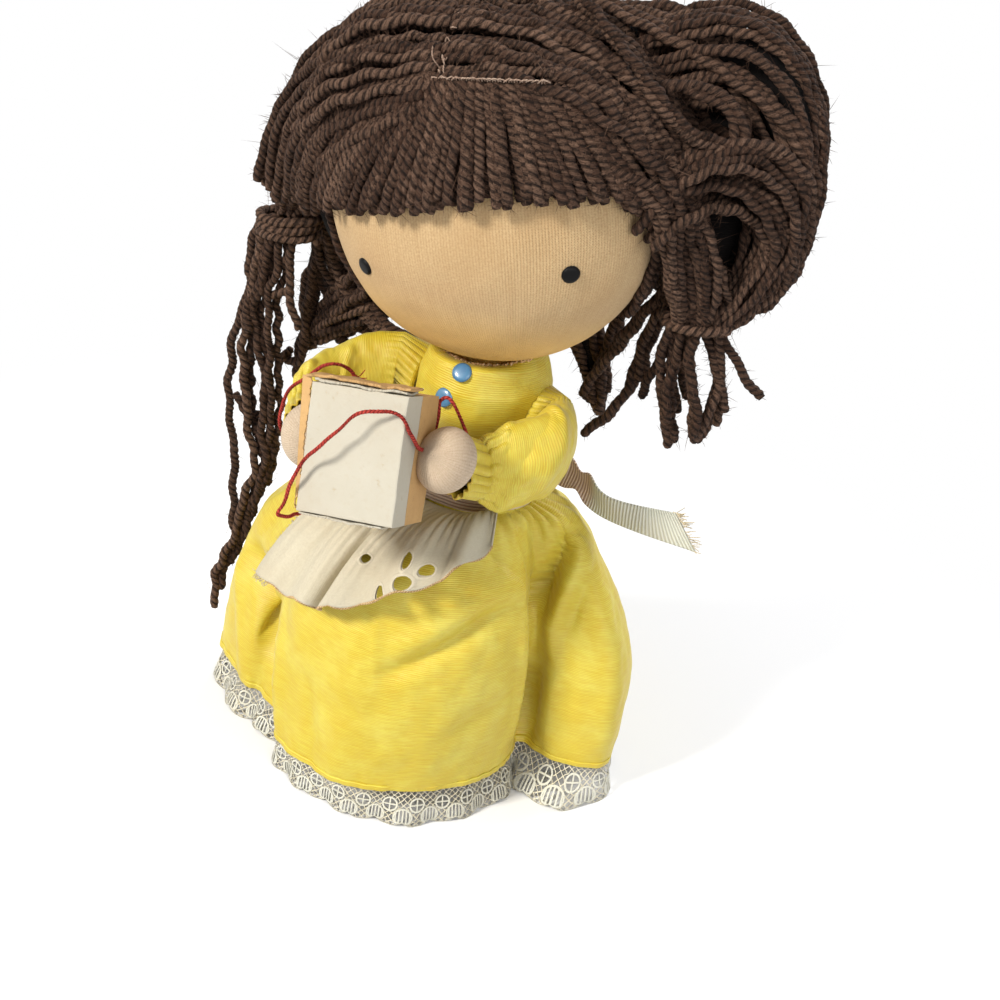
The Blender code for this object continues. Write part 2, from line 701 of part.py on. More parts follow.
# Masses of yarn, placed from the head's centre in the doll's frame. Each row: x, y and z as
# shares of the head's half width, then the mass's radius as a share of it
RIGHT_SIDE_HAIR_SHARES = (
    (-0.86, -0.03, 0.67, 0.25),
    (-1.19, -0.03, 0.32, 0.30),
    (-1.33, 0.03, -0.12, 0.27),
    (-1.46, 0.21, -0.42, 0.16),
    (-1.50, 0.22, -0.52, 0.10),
)
LEFT_SIDE_HAIR_SHARES = (
    (0.67, 0.41, 0.88, 0.281),
    (1.08, 0.50, 1.03, 0.300),
    (1.39, 0.53, 0.82, 0.266),
    (1.53, 0.44, 0.48, 0.219),
    (1.55, 0.34, 0.10, 0.188),
    (1.48, 0.26, -0.21, 0.138),
    (1.45, 0.25, -0.37, 0.094),
)
RIGHT_LOCK_SHARES = (
    (-0.92, 0.53, -0.65, 0.156),
    (-1.05, 0.53, -0.90, 0.188),
    (-1.17, 0.52, -1.12, 0.172),
    (-1.31, 0.48, -1.32, 0.125),
    (-1.42, 0.45, -1.47, 0.056),
)
LEFT_LOCK_SHARES = (
    (1.12, 0.22, 0.26, 0.119),
    (1.20, 0.23, -0.08, 0.131),
    (1.22, 0.25, -0.26, 0.119),
    (1.22, 0.25, -0.37, 0.087),
)
BACK_LOCK_SHARES = (
    (0.23, 0.81, -0.55, 0.11),
    (0.39, 0.83, -0.90, 0.13),
    (0.58, 0.81, -1.27, 0.11),
    (0.66, 0.78, -1.49, 0.05),
)
RIGHT_TAIL_SHARES = (
    (-1.51, 0.22, -0.57, 0.10),
    (-1.52, 0.22, -0.65, 0.09),
    (-1.60, 0.22, -0.87, 0.12),
    (-1.73, 0.22, -1.37, 0.15),
    (-1.82, 0.22, -2.05, 0.15),
    (-1.83, 0.22, -2.87, 0.13),
    (-1.82, 0.22, -3.68, 0.05),
)
LEFT_TAIL_SHARES = (
    (1.34, 0.25, -0.39, 0.106),
    (1.34, 0.25, -0.50, 0.122),
    (1.35, 0.25, -0.74, 0.163),
    (1.37, 0.25, -0.99, 0.181),
    (1.39, 0.25, -1.13, 0.144),
    (1.40, 0.25, -1.23, 0.069),
)


def hair_place(row):
    return HEAD_CENTRE + Vector(row[:3]) * HEAD_HALF_WIDTH


def hair_rings(shares, sides=10, flatten=1.0):
    """Rings along a mass of yarn, each square to the way it runs."""
    unit = HEAD_HALF_WIDTH
    route = [hair_place(row) for row in shares]
    rings = []
    for k, centre in enumerate(route):
        ahead = (route[min(k + 1, len(route) - 1)] - route[max(k - 1, 0)]).normalized()
        across = ahead.cross(Vector((0.0, 1.0, 0.0))).normalized()
        deep = across.cross(ahead)
        radius = shares[k][3] * unit
        turns = [2 * math.pi * side / sides for side in range(sides)]
        rings.append([centre + across * radius * math.cos(a) + deep * radius * flatten * math.sin(a)
                      for a in turns])
    return rings


def add_hair_mass(name, shares, parent, cut_by_head, flatten=1.0):
    """A plain mass of yarn; its inner side follows the yarn on the head."""
    mesh = ring_mesh(name, hair_rings(shares, flatten=flatten))
    piece = add_object(name, mesh, YARN, parent)
    if cut_by_head:
        cut(piece, cut_by_head)
    return piece


def add_tie(name, shares, parent):
    """A thread tied round a bunch of yarn, just above the bunch's second ring."""
    unit = HEAD_HALF_WIDTH
    start, neck = (hair_place(row) for row in shares[:2])
    ahead = (neck - start).normalized()
    across = ahead.cross(Vector((0.0, 1.0, 0.0))).normalized()
    deep = across.cross(ahead)
    radius = max(row[3] for row in shares[:2]) * unit + GAP + TIE_RADIUS
    sides = 20
    points = [neck - ahead * TIE_RADIUS + (across * math.cos(a) + deep * math.sin(a)) * radius
              for a in (2 * math.pi * k / sides for k in range(sides))]
    thread(name, points, TIE_RADIUS, COTTON, parent, closed=True)


def add_hair_masses():
    over_cap = ellipsoid_mesh("over_cap", head_half_sizes(YARN_LAYER + GAP), 26, 14)
    over = add_cutter("over_cap", over_cap, head_placed())
    reach = HEAD_HALF_WIDTH + CUTTER_OVERRUN
    edge = -CAP_HEM_SHARE * HEAD_HALF_HEIGHT - GAP
    under = block_mesh("under_cap", (-reach, -reach, -2 * reach), (reach, reach, edge))
    cut(over, add_cutter("under_cap", under, head_placed()))
    for name, shares in (("right_side_hair", RIGHT_SIDE_HAIR_SHARES),
                         ("left_side_hair", LEFT_SIDE_HAIR_SHARES),
                         ("right_cheek_lock", RIGHT_LOCK_SHARES),
                         ("left_cheek_lock", LEFT_LOCK_SHARES),
                         ("left_back_lock", BACK_LOCK_SHARES)):
        add_hair_mass(name, shares, HEAD_NOD, over)
    add_hair_mass("right_pigtail", RIGHT_TAIL_SHARES, RIGHT_SWING, None, 0.7)
    add_hair_mass("left_pigtail", LEFT_TAIL_SHARES, LEFT_SWING, None, 0.7)
    add_tie("right_hair_tie", RIGHT_TAIL_SHARES, RIGHT_SWING)
    add_tie("left_hair_tie", LEFT_TAIL_SHARES, LEFT_SWING)


def box_placed():
    turn = Matrix.Rotation(math.radians(BOX_YAW_DEG), 4, "Z")
    pitch = Matrix.Rotation(math.radians(BOX_PITCH_DEG), 4, "X")
    roll = Matrix.Rotation(math.radians(BOX_ROLL_DEG), 4, "Y")
    return Matrix.Translation(BOX_CENTRE) @ turn @ pitch @ roll


def hand_centre(side):
    """The middle of a hand's ball, pressed lightly against the side of the parcel."""
    out = BOX_WIDTH / 2 + GAP + HAND_RADIUS - HAND_PRESS
    local = Vector((side * out, HAND_BACK_SHARE * BOX_DEPTH, -HAND_LOW_SHARE * BOX_HEIGHT))
    return box_placed() @ local


def level_ring(centre, yaw_deg, half_width, half_height, sides=ARM_SIDES):
    """An upright oval ring that faces the way of travel."""
    yaw = math.radians(yaw_deg)
    across = Vector((-math.sin(yaw), math.cos(yaw), 0.0))
    up = Vector((0.0, 0.0, 1.0))
    turns = [2 * math.pi * k / sides for k in range(sides)]
    return [centre + across * half_width * math.cos(a) + up * half_height * math.sin(a)
            for a in turns]


def arm_centre(side, row, elbow_out):
    shoulder = Vector((side * (TORSO_HALF_WIDTH + GAP), SHOULDER_Y, SHOULDER_Z))
    way = shoulder.lerp(hand_centre(side), row[0])
    return way + Vector((side * row[1] * elbow_out, 0.0, -row[2] * ELBOW_DROP))


def arm_rings(side, shares, elbow_out, shrink):
    """Rings of the arm from the shoulder's disc to the far side of the hand."""
    start_yaw = 0.0 if side > 0 else 180.0
    disc = Vector((side * (TORSO_HALF_WIDTH + GAP + shrink), SHOULDER_Y, SHOULDER_Z))
    neck = Vector((side * (TORSO_HALF_WIDTH + 2 * SATIN + SATIN_EASE), SHOULDER_Y, SHOULDER_Z))
    rings = [level_ring(disc, start_yaw, SHOULDER_RADIUS - shrink, SHOULDER_RADIUS - shrink),
             level_ring(neck, start_yaw, SHOULDER_RADIUS - shrink, SHOULDER_RADIUS - shrink)]
    for row in shares:
        rings.append(level_ring(arm_centre(side, row, elbow_out), row[3],
                                row[4] * ARM_HALF_WIDTH - shrink,
                                row[4] * ARM_HALF_HEIGHT - shrink))
    hand = hand_centre(side)
    wrist = arm_centre(side, (WRIST_SHARES[0], shares[-1][1] / 2, WRIST_SHARES[1]), elbow_out)
    ahead = hand - wrist
    yaw = math.degrees(math.atan2(ahead.y, ahead.x))
    flat = Vector((ahead.x, ahead.y, 0.0)).normalized()
    rings.append(level_ring(wrist, yaw, ARM_HALF_WIDTH - shrink, ARM_HALF_WIDTH - shrink))
    for share in HAND_RING_SHARES:
        spread = math.sqrt(1.0 - share ** 2)
        centre = hand + flat * share * (HAND_RADIUS - shrink)
        rings.append(level_ring(centre, yaw, spread * (HAND_RADIUS - shrink),
                                spread * (HAND_HALF_HEIGHT - shrink)))
    return rings


def sleeve_rings(side, shares, elbow_out):
    start_yaw = 0.0 if side > 0 else 180.0
    crown = Vector((side * (TORSO_HALF_WIDTH + SATIN_EASE + SATIN + GAP), SHOULDER_Y, SHOULDER_Z))
    rings = [level_ring(crown, start_yaw, SLEEVE_CROWN_RADIUS - SATIN, SLEEVE_CROWN_RADIUS - SATIN)]
    for row in shares:
        least = SATIN_EASE
        if row is shares[-1]:
            least += 2 * ELASTIC_RADIUS + GAP
        rings.append(level_ring(arm_centre(side, row, elbow_out), row[3],
                                max(row[5] * SLEEVE_HALF_WIDTH - SATIN,
                                    row[4] * ARM_HALF_WIDTH + least),
                                max(row[5] * SLEEVE_HALF_HEIGHT - SATIN,
                                    row[4] * ARM_HALF_HEIGHT + least)))
    return rings


def add_arm(word, side, shares, elbow_out, parent):
    """One arm: knit cover with its hand, stuffing, satin sleeve and the cuff's elastic."""
    cover_mesh = ring_mesh(f"{word}_arm_cover", arm_rings(side, shares, elbow_out, 0.0), False, True)
    cover = add_object(f"{word}_arm_cover", cover_mesh, FLEECE, parent)
    thicken(cover, KNIT, -1.0)
    fibre = ring_mesh(f"{word}_arm_stuffing", arm_rings(side, shares, elbow_out, KNIT + 2 * SEAM_EASE))
    add_object(f"{word}_arm_stuffing", fibre, FIBRE, parent)
    sleeve_mesh = ring_mesh(f"{word}_sleeve", sleeve_rings(side, shares, elbow_out), False, False)
    sleeve = add_object(f"{word}_sleeve", sleeve_mesh, SATIN_CLOTH, parent)
    thicken(sleeve, SATIN, 1.0)
    last = shares[-1]
    reach = SATIN_EASE + ELASTIC_RADIUS
    ring = level_ring(arm_centre(side, last, elbow_out), last[3],
                      last[4] * ARM_HALF_WIDTH + reach, last[4] * ARM_HALF_HEIGHT + reach, 16)
    thread(f"{word}_cuff_elastic", ring, ELASTIC_RADIUS, COTTON, parent, closed=True)


def open_tray(name, low, high, open_side, material, parent):
    """A card tray: a block without its front face, thickened inwards."""
    bm = bmesh.new()
    bmesh.ops.create_cube(bm, size=1.0)
    size = Vector(high) - Vector(low)
    bmesh.ops.scale(bm, vec=size, verts=bm.verts)
    bmesh.ops.translate(bm, vec=(Vector(high) + Vector(low)) / 2, verts=bm.verts)
    bm.normal_update()
    gone = [face for face in bm.faces if face.normal.y * open_side > 0.9]
    bmesh.ops.delete(bm, geom=gone, context="FACES")
    mesh = bpy.data.meshes.new(name)
    bm.to_mesh(mesh)
    bm.free()
    tray = add_object(name, mesh, material, parent, box_placed())
    return thicken(tray, CARD, -1.0)


def add_parcel(parent):
    """The card box: a deep tray that opens forwards and a lid pushed over it."""
    w, d, h = BOX_WIDTH / 2, BOX_DEPTH / 2, BOX_HEIGHT / 2
    open_tray("box_lid", (-w, -d, -h), (w, -d + LID_DEPTH, h), 1.0, CARD_WHITE, parent)
    inset = CARD + GAP
    open_tray("box_base", (inset - w, inset - d, inset - h), (w - inset, d, h - inset), -1.0,
              CARD_BROWN, parent)


# The string's route in the parcel's frame, from the right wrist round the box to the left cuff
STRING_ROUTE = (
    (-0.0190, 0.0020, 0.0050),
    (-0.0175, 0.0035, 0.0100),
    (-0.0125, 0.0048, 0.0142),
    (-0.0072, 0.0062, 0.0156),
    (-0.0036, 0.0078, 0.0134),
    (-0.0052, 0.0086, 0.0080),
    (-0.0080, 0.0086, -0.0020),
    (-0.0096, 0.0074, -0.0112),
    (-0.0100, 0.0010, -0.0130),
    (-0.0108, -0.0060, -0.0130),
    (-0.0106, -0.0088, -0.0118),
    (-0.0090, -0.0090, -0.0060),
    (-0.0062, -0.0092, 0.0010),
    (-0.0010, -0.0094, 0.0064),
    (0.0050, -0.0092, 0.0080),
    (0.0096, -0.0086, 0.0064),
    (0.0110, -0.0066, 0.0050),
    (0.0109, -0.0010, 0.0072),
    (0.0109, 0.0050, 0.0098),
    (0.0128, 0.0084, 0.0098),
    (0.0150, 0.0108, 0.0070),
    (0.0162, 0.0122, 0.0036),
)
STRING_STEPS = 2


def add_string(parent):
    """The red string, one length that loops over both hands and crosses the lid."""
    route = smooth_route(STRING_ROUTE, STRING_STEPS)
    thread("box_string", route, STRING_RADIUS, FLOSS, parent, sides_step=2, placed=box_placed())


def hem_columns(count):
    """The hem's outline, its waist angles and the lace's flare, read at even steps."""
    rows = [(x, y, math.radians(turn), flare) for x, y, turn, flare in HEM_OUTLINE_SHARES]
    total = len(rows)
    columns = []
    for k in range(count):
        t = total * k / count
        x, y, _, flare = catmull(rows, t)
        low = int(t)
        high_turn = rows[low + 1][2] if low + 1 < total else rows[0][2] + 2 * math.pi
        turn = rows[low][2] + (high_turn - rows[low][2]) * (t - low)
        columns.append((x * HEM_HALF_WIDTH, y * HEM_HALF_DEPTH, turn, flare))
    return columns


def skirt_point(column, drop):
    """A point of the skirt at a share of the way down from waist to hem."""
    x, y, turn, _ = column
    waist = torso_point(BODICE_BOTTOM_ROW, turn, SATIN_EASE)
    sides = ((SKIRT_FRONT_SHARES, max(0.0, -math.sin(turn)) ** 2),
             (SKIRT_BACK_SHARES, max(0.0, math.sin(turn)) ** 2),
             (SKIRT_LEFT_SHARES, max(0.0, math.cos(turn)) ** 2),
             (SKIRT_RIGHT_SHARES, max(0.0, -math.cos(turn)) ** 2))
    flare = sum(table_value(shares, SKIRT_DROP_SHARES, drop) * weight for shares, weight in sides)
    z = SKIRT_TOP_Z - drop * (SKIRT_TOP_Z - HEM_Z)
    return Vector((waist.x + (x - waist.x) * flare, waist.y + (y - waist.y) * flare, z))


def add_skirt():
    """The gathered skirt, with its main folds, and the lace sewn behind its hem."""
    columns = hem_columns(SKIRT_COLUMNS)
    rings = [[skirt_point(column, drop) for column in columns] for drop in SKIRT_DROP_SHARES]
    skirt = add_object("skirt", ring_mesh("skirt", rings, False, False), SATIN_CLOTH, DOLL)
    thicken(skirt, SATIN, 1.0)
    fine = halved_columns(columns)
    inset = LACE_SET_BACK + LACE_THICKNESS
    lap = LACE_LAP / (SKIRT_TOP_Z - HEM_Z)
    upper = [moved_out(fine, k, skirt_point(column, 1.0 - lap), -inset)
             for k, column in enumerate(fine)]
    at_hem = [moved_out(fine, k, skirt_point(column, 1.0), -inset)
              for k, column in enumerate(fine)]
    lower = []
    for k, column in enumerate(fine):
        foot = moved_out(fine, k, skirt_point(column, 1.0), column[3] * LACE_FLARE)
        foot.z = LACE_SCALLOP if k % 2 else 0.0
        lower.append(foot)
    lace_mesh = ring_mesh("hem_lace", [upper, at_hem, lower], False, False)
    lace = add_object("hem_lace", lace_mesh, LACE, DOLL)
    thicken(lace, LACE_THICKNESS, 1.0, even=False)


def halved_columns(columns):
    """The same outline with a point added halfway between each pair."""
    fine = []
    for k, column in enumerate(columns):
        after = columns[(k + 1) % len(columns)]
        turn = after[2] if after[2] > column[2] else after[2] + 2 * math.pi
        middle = [(a + b) / 2 for a, b in zip(column, after)]
        middle[2] = (column[2] + turn) / 2
        fine += [column, tuple(middle)]
    return fine


def moved_out(columns, k, point, distance):
    """Move a point of the hem square to the hem's outline, outwards if positive."""
    before, here, after = (Vector((*columns[j % len(columns)][:2], 0.0)) for j in (k - 1, k, k + 1))
    arriving = (here - before).normalized()
    along = (arriving + (after - here).normalized()).normalized()
    square = distance / max(0.5, arriving.dot(along))
    return point + Vector((along.y, -along.x, 0.0)) * square


def apron_point(u, v):
    """A point of the apron: u runs from the doll's right to its left, v down from the waist."""
    rows = APRON_EDGE_SHARES
    t = u * (len(rows) - 1)
    low = min(int(t), len(rows) - 2)
    turn, x, y, z = (a + (b - a) * (t - low) for a, b in zip(rows[low], rows[low + 1]))
    grow = SATIN_EASE + SATIN + 2 * GAP + RIBBON_THICKNESS + APRON_THICKNESS
    top = torso_point(BODICE_BOTTOM_ROW + 1, math.radians(turn), grow)
    top.z = APRON_TOP_Z
    foot = Vector((top.x + x * APRON_REACH, top.y + y * APRON_REACH, top.z + z * APRON_DROP))
    point = top.lerp(foot, v)
    point.z += APRON_CROWN * math.sin(math.pi * v)
    wave = APRON_RUFFLE * v * math.sin(2 * math.pi * APRON_RUFFLES * u)
    return point + Vector((0.0, -wave, wave))


def add_apron():
    grid = [[apron_point(c / APRON_COLUMNS, r / APRON_ROWS) for c in range(APRON_COLUMNS + 1)]
            for r in range(APRON_ROWS + 1)]
    apron = add_object("apron", sheet_mesh("apron", grid), COTTON, DOLL)
    thicken(apron, APRON_THICKNESS, 0.0)


# Tails of the ribbon. Each row: x, y and z from the knot's side, then the ribbon's lean, as
# shares of the tail's reach
LEFT_RIBBON_SHARES = (
    (0.00, 0.00, 0.00, 0.10),
    (0.18, 0.00, -0.01, 0.30),
    (0.42, -0.08, -0.03, 0.20),
    (0.62, -0.15, -0.08, -0.25),
    (1.04, -0.13, -0.07, 0.10),
)
RIGHT_RIBBON_SHARES = (
    (0.00, 0.00, 0.00, 0.10),
    (0.11, 0.06, -0.02, 0.20),
    (0.18, 0.13, -0.12, 0.10),
    (0.23, 0.19, -0.26, 0.00),
    (0.27, 0.25, -0.41, 0.00),
)


def add_ribbon():
    """The ribbon that ties the apron: a band round the waist, a knot behind, two tails."""
    low = APRON_TOP_Z + GAP
    high = low + RIBBON_BAND
    grow = SATIN_EASE + SATIN + GAP
    turns = [2 * math.pi * k / TORSO_SIDES for k in range(TORSO_SIDES)]
    rings = []
    for height in (low, high):
        ring = []
        for turn in turns:
            row = BODICE_BOTTOM_ROW + 1
            point = torso_point(row, turn, grow)
            point.z = height
            ring.append(point)
        rings.append(ring)
    band = add_object("ribbon_band", ring_mesh("ribbon_band", rings, False, False), RIBBON, DOLL)
    thicken(band, RIBBON_THICKNESS, 1.0)
    back = torso_point(BODICE_BOTTOM_ROW + 1, math.pi / 2, grow + RIBBON_THICKNESS + GAP)
    centre = Vector((0.0, back.y + KNOT_HALF_DEPTH, (low + high) / 2))
    bm = bmesh.new()
    bmesh.ops.create_cube(bm, size=2.0)
    bmesh.ops.scale(bm, vec=(KNOT_HALF_WIDTH, KNOT_HALF_DEPTH, KNOT_HALF_HEIGHT), verts=bm.verts)
    bmesh.ops.translate(bm, vec=centre, verts=bm.verts)
    knot = add_object("ribbon_knot", mesh_of(bm, "ribbon_knot"), RIBBON, DOLL)
    rounded = knot.modifiers.new("rounded", "BEVEL")
    rounded.width = KNOT_HALF_DEPTH * 0.8
    rounded.segments = 2
    for name, side, shares in (("ribbon_tail_left", 1.0, LEFT_RIBBON_SHARES),
                               ("ribbon_tail_right", -1.0, RIGHT_RIBBON_SHARES)):
        start = centre + Vector((side * (KNOT_HALF_WIDTH + GAP), 0.0, 0.0))
        grid = [[], []]
        for x, y, z, lean in shares:
            place = start + Vector((side * x, y, z)) * TAIL_REACH
            edge = Vector((0.0, lean, 1.0)).normalized() * RIBBON_WIDTH / 2
            grid[0].append(place - edge)
            grid[1].append(place + edge)
        tail = add_object(name, sheet_mesh(name, grid), RIBBON, DOLL)
        thicken(tail, RIBBON_THICKNESS, 0.0)


def leg_rings(side, shrink):
    """Rings of a leg from its flat sole up to the dome that turns under the torso."""
    centre_x = side * HIP_X
    turns = [2 * math.pi * k / LEG_SIDES for k in range(LEG_SIDES)]
    rings = []
    for height, width, length, toe in LEG_RING_SHARES:
        z = height * HIP_Z
        if height == 0.0:
            z += shrink
        rings.append([Vector((centre_x + (width * HIP_RADIUS - shrink) * math.cos(a),
                              (length * HIP_RADIUS - shrink) * math.sin(a) - toe * HIP_RADIUS, z))
                      for a in turns])
    for angle_deg in DOME_ANGLES_DEG:
        angle = math.radians(angle_deg)
        radius = (HIP_RADIUS - shrink) * math.cos(angle)
        z = HIP_Z + (HIP_RADIUS - shrink) * math.sin(angle)
        rings.append([Vector((centre_x + radius * math.cos(a), radius * math.sin(a), z))
                      for a in turns])
    return rings


def add_leg(word, side, parent):
    """One leg: a knit cover, open under the torso where it was filled, and its stuffing."""
    cover_mesh = ring_mesh(f"{word}_leg_cover", leg_rings(side, 0.0), True, False)
    cover = add_object(f"{word}_leg_cover", cover_mesh, FLEECE, parent)
    thicken(cover, KNIT, -1.0)
    fibre = ring_mesh(f"{word}_leg_stuffing", leg_rings(side, KNIT + SEAM_EASE))
    add_object(f"{word}_leg_stuffing", fibre, FIBRE, parent)


def stand_on_origin():
    """Move the doll so that the middle of its footprint is the world's origin."""
    bpy.context.view_layer.update()
    graph = bpy.context.evaluated_depsgraph_get()
    corners = []
    for piece in PARTS.objects:
        if piece.type == "EMPTY" or piece.name == "box_string":
            continue
        shape = piece.evaluated_get(graph)
        mesh = shape.to_mesh()
        corners += [piece.matrix_world @ vertex.co for vertex in mesh.vertices]
        shape.to_mesh_clear()
    low = Vector([min(c[k] for c in corners) for k in range(3)])
    high = Vector([max(c[k] for c in corners) for k in range(3)])
    DOLL.location = (-(low.x + high.x) / 2, -(low.y + high.y) / 2, -low.z)
    bpy.context.view_layer.update()


clear_scene()
PARTS = new_collection("rag_doll")
CUTTERS = new_collection("cutters")

FLEECE = new_material("knit_cover", (0.80, 0.62, 0.44), 0.75)
FIBRE = new_material("stuffing", (0.90, 0.88, 0.84), 0.95)
SATIN_CLOTH = new_material("yellow_satin", (0.88, 0.62, 0.04), 0.42)
BRAID = new_material("peach_braid", (0.80, 0.50, 0.28), 0.8)
PEARL = new_material("blue_pearl", (0.16, 0.42, 0.75), 0.15)
YARN = new_material("brown_yarn", (0.06, 0.03, 0.02), 0.9)
COTTON = new_material("cream_cotton", (0.86, 0.82, 0.72), 0.85)
LACE = new_material("cream_lace", (0.85, 0.80, 0.64), 0.8)
BEAD = new_material("black_bead", (0.01, 0.01, 0.01), 0.3)
RIBBON = new_material("beige_ribbon", (0.62, 0.48, 0.38), 0.7)
CARD_WHITE = new_material("white_card", (0.82, 0.80, 0.72), 0.8)
CARD_BROWN = new_material("brown_card", (0.62, 0.42, 0.24), 0.85)
FLOSS = new_material("red_floss", (0.55, 0.07, 0.05), 0.6)

DOLL = new_empty("doll", (0.0, 0.0, 0.0), None)
NECK_TURN = new_empty("neck_turn", (0.0, NECK_Y, NECK_PIVOT_Z), DOLL)
HEAD_NOD = new_empty("head_nod", (0.0, NECK_Y, NECK_PIVOT_Z), NECK_TURN)
RIGHT_SWING = new_empty("right_swing", hair_place(RIGHT_TAIL_SHARES[1]), HEAD_NOD)
LEFT_SWING = new_empty("left_swing", hair_place(LEFT_TAIL_SHARES[1]), HEAD_NOD)
SHOULDER = (0.0, SHOULDER_Y, SHOULDER_Z)
RIGHT_ARM = new_empty("right_arm", SHOULDER, DOLL)
LEFT_ARM = new_empty("left_arm", SHOULDER, DOLL)
RIGHT_HIP = new_empty("right_hip", (-HIP_X, 0.0, HIP_Z), DOLL)
LEFT_HIP = new_empty("left_hip", (HIP_X, 0.0, HIP_Z), DOLL)

add_torso()
add_bodice()
add_collar()
for button_name, button_row, button_side in zip(("button_lower", "button_upper"), BUTTON_ROWS,
                                                BUTTON_SIDE_SHARES):
    add_button(button_name, button_row, button_side)
add_neck()
add_head()
add_hair_cap()
add_hair_masses()
add_arm("right", -1.0, RIGHT_ARM_RING_SHARES, RIGHT_ELBOW_OUT, RIGHT_ARM)
add_arm("left", 1.0, LEFT_ARM_RING_SHARES, LEFT_ELBOW_OUT, LEFT_ARM)
add_parcel(RIGHT_ARM)
add_string(RIGHT_ARM)
add_skirt()
add_apron()
add_ribbon()
add_leg("right", -1.0, RIGHT_HIP)
add_leg("left", 1.0, LEFT_HIP)
stand_on_origin()
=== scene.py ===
"""A hand-made rag doll with yarn hair, a satin dress and a small card box in its hands.

Places are written in millimetres in the doll's own frame (x to the doll's left, y to its back,
z up from the floor) and turned into metres of the CAD frame by world().
"""

import json
import math
from math import pi

import bpy
import numpy as np
from mathutils import Matrix, Vector

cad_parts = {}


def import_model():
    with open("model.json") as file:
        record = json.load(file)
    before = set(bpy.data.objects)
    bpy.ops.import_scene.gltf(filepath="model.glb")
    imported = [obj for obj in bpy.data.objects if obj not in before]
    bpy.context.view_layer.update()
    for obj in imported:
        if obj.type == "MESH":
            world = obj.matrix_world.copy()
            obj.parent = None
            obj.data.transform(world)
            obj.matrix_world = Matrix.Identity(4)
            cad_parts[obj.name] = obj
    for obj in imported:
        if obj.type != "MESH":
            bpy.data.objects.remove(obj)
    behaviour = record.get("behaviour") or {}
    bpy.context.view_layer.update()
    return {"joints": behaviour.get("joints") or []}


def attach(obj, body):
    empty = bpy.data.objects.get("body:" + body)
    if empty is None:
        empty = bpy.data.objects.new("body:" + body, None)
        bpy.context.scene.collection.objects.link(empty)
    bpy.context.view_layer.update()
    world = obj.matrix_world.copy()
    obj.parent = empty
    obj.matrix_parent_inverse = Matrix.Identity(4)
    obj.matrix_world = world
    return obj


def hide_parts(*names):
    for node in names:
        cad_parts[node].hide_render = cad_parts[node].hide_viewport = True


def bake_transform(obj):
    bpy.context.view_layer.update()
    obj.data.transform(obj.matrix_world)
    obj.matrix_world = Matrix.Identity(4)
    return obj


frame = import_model()

MM = 0.001
UP = np.array([0.0, 0.0, 1.0])
NECK_PIVOT = np.array([0.0, -1.5, 105.0])
HEAD_TURN = next(j for j in frame["joints"] if j["name"] == "head_turn")
DOLL = np.array(HEAD_TURN["pos_m"]) / MM - NECK_PIVOT


# Numbers and shapes


def world(points):
    """Doll millimetres to metres in the CAD frame."""
    return (np.asarray(points, float) + DOLL) * MM


def unit(v):
    """Each vector along the last axis, made one long."""
    return v / np.maximum(np.linalg.norm(v, axis=-1, keepdims=True), 1e-9)


def vec(x, y, z):
    """Numbers or arrays as the x, y and z of points."""
    return np.stack(np.broadcast_arrays(x, y, z), axis=-1)


def turned(about_z, about_x, about_y):
    """Turns in degrees about z, then x, then y, as one matrix."""
    made = Matrix.Rotation(math.radians(about_z), 3, "Z") @ Matrix.Rotation(math.radians(about_x), 3, "X")
    return np.array(made @ Matrix.Rotation(math.radians(about_y), 3, "Y"))


def full_turn(count):
    """Angles once round, without the last that repeats the first."""
    return np.linspace(0, 2 * pi, count, endpoint=False)


def smooth(x, low, high):
    """Rises from 0 at low to 1 at high along 3t² - 2t³."""
    t = np.clip((x - low) / (high - low), 0.0, 1.0)
    return t * t * (3.0 - 2.0 * t)


def bell(x, middle, half):
    """exp(-((x - middle) / half)²)."""
    return np.exp(-(((x - middle) / half) ** 2))


def spline(points, at, closed=False):
    """Catmull-Rom curve through points, read at places counted in points from the first."""
    points, at = np.asarray(points, float), np.asarray(at, float)
    count, base = len(points), np.floor(at).astype(int)
    if not closed:
        base = np.clip(base, 0, count - 2)
    t = (at - base).reshape(at.shape + (1,) * (points.ndim - 1))
    near = (base + k for k in (-1, 0, 1, 2))
    a, b, c, d = (points[n % count if closed else np.clip(n, 0, count - 1)] for n in near)
    return 0.5 * (2.0 * b + (c - a) * t + (2.0 * a - 5.0 * b + 4.0 * c - d) * t**2 + (3.0 * (b - c) + d - a) * t**3)


def steps(points):
    """Distances from each point to the next along the first axis."""
    return np.linalg.norm(np.diff(points[..., :3], axis=0), axis=-1)


def run_of(lengths):
    """How far along each point lies, from the lengths between points."""
    return np.concatenate([[0], np.cumsum(lengths)])


def along(points, count):
    """The curve through points, cut into count places a like distance apart."""
    fine = spline(points, np.linspace(0, len(points) - 1, (len(points) - 1) * 12 + 1))
    run = run_of(steps(fine))
    return np.stack([np.interp(np.linspace(0, run[-1], count), run, column) for column in fine.T], axis=1)


def ripple(points, wave, seed, octaves=3):
    """Smooth noise of about -1 to 1: sums of sines along fixed random directions, each octave
    half as long and half as strong as the one before."""
    rng = np.random.default_rng(seed)
    total = np.zeros(points.shape[:-1])
    for octave in range(octaves):
        for _ in range(4):
            way = unit(rng.normal(size=3)) * 2 * pi / (wave * 0.5**octave * rng.uniform(0.8, 1.3))
            total += np.sin(points @ way + rng.uniform(0, 2 * pi)) * 0.5**octave / 2.2
    return total


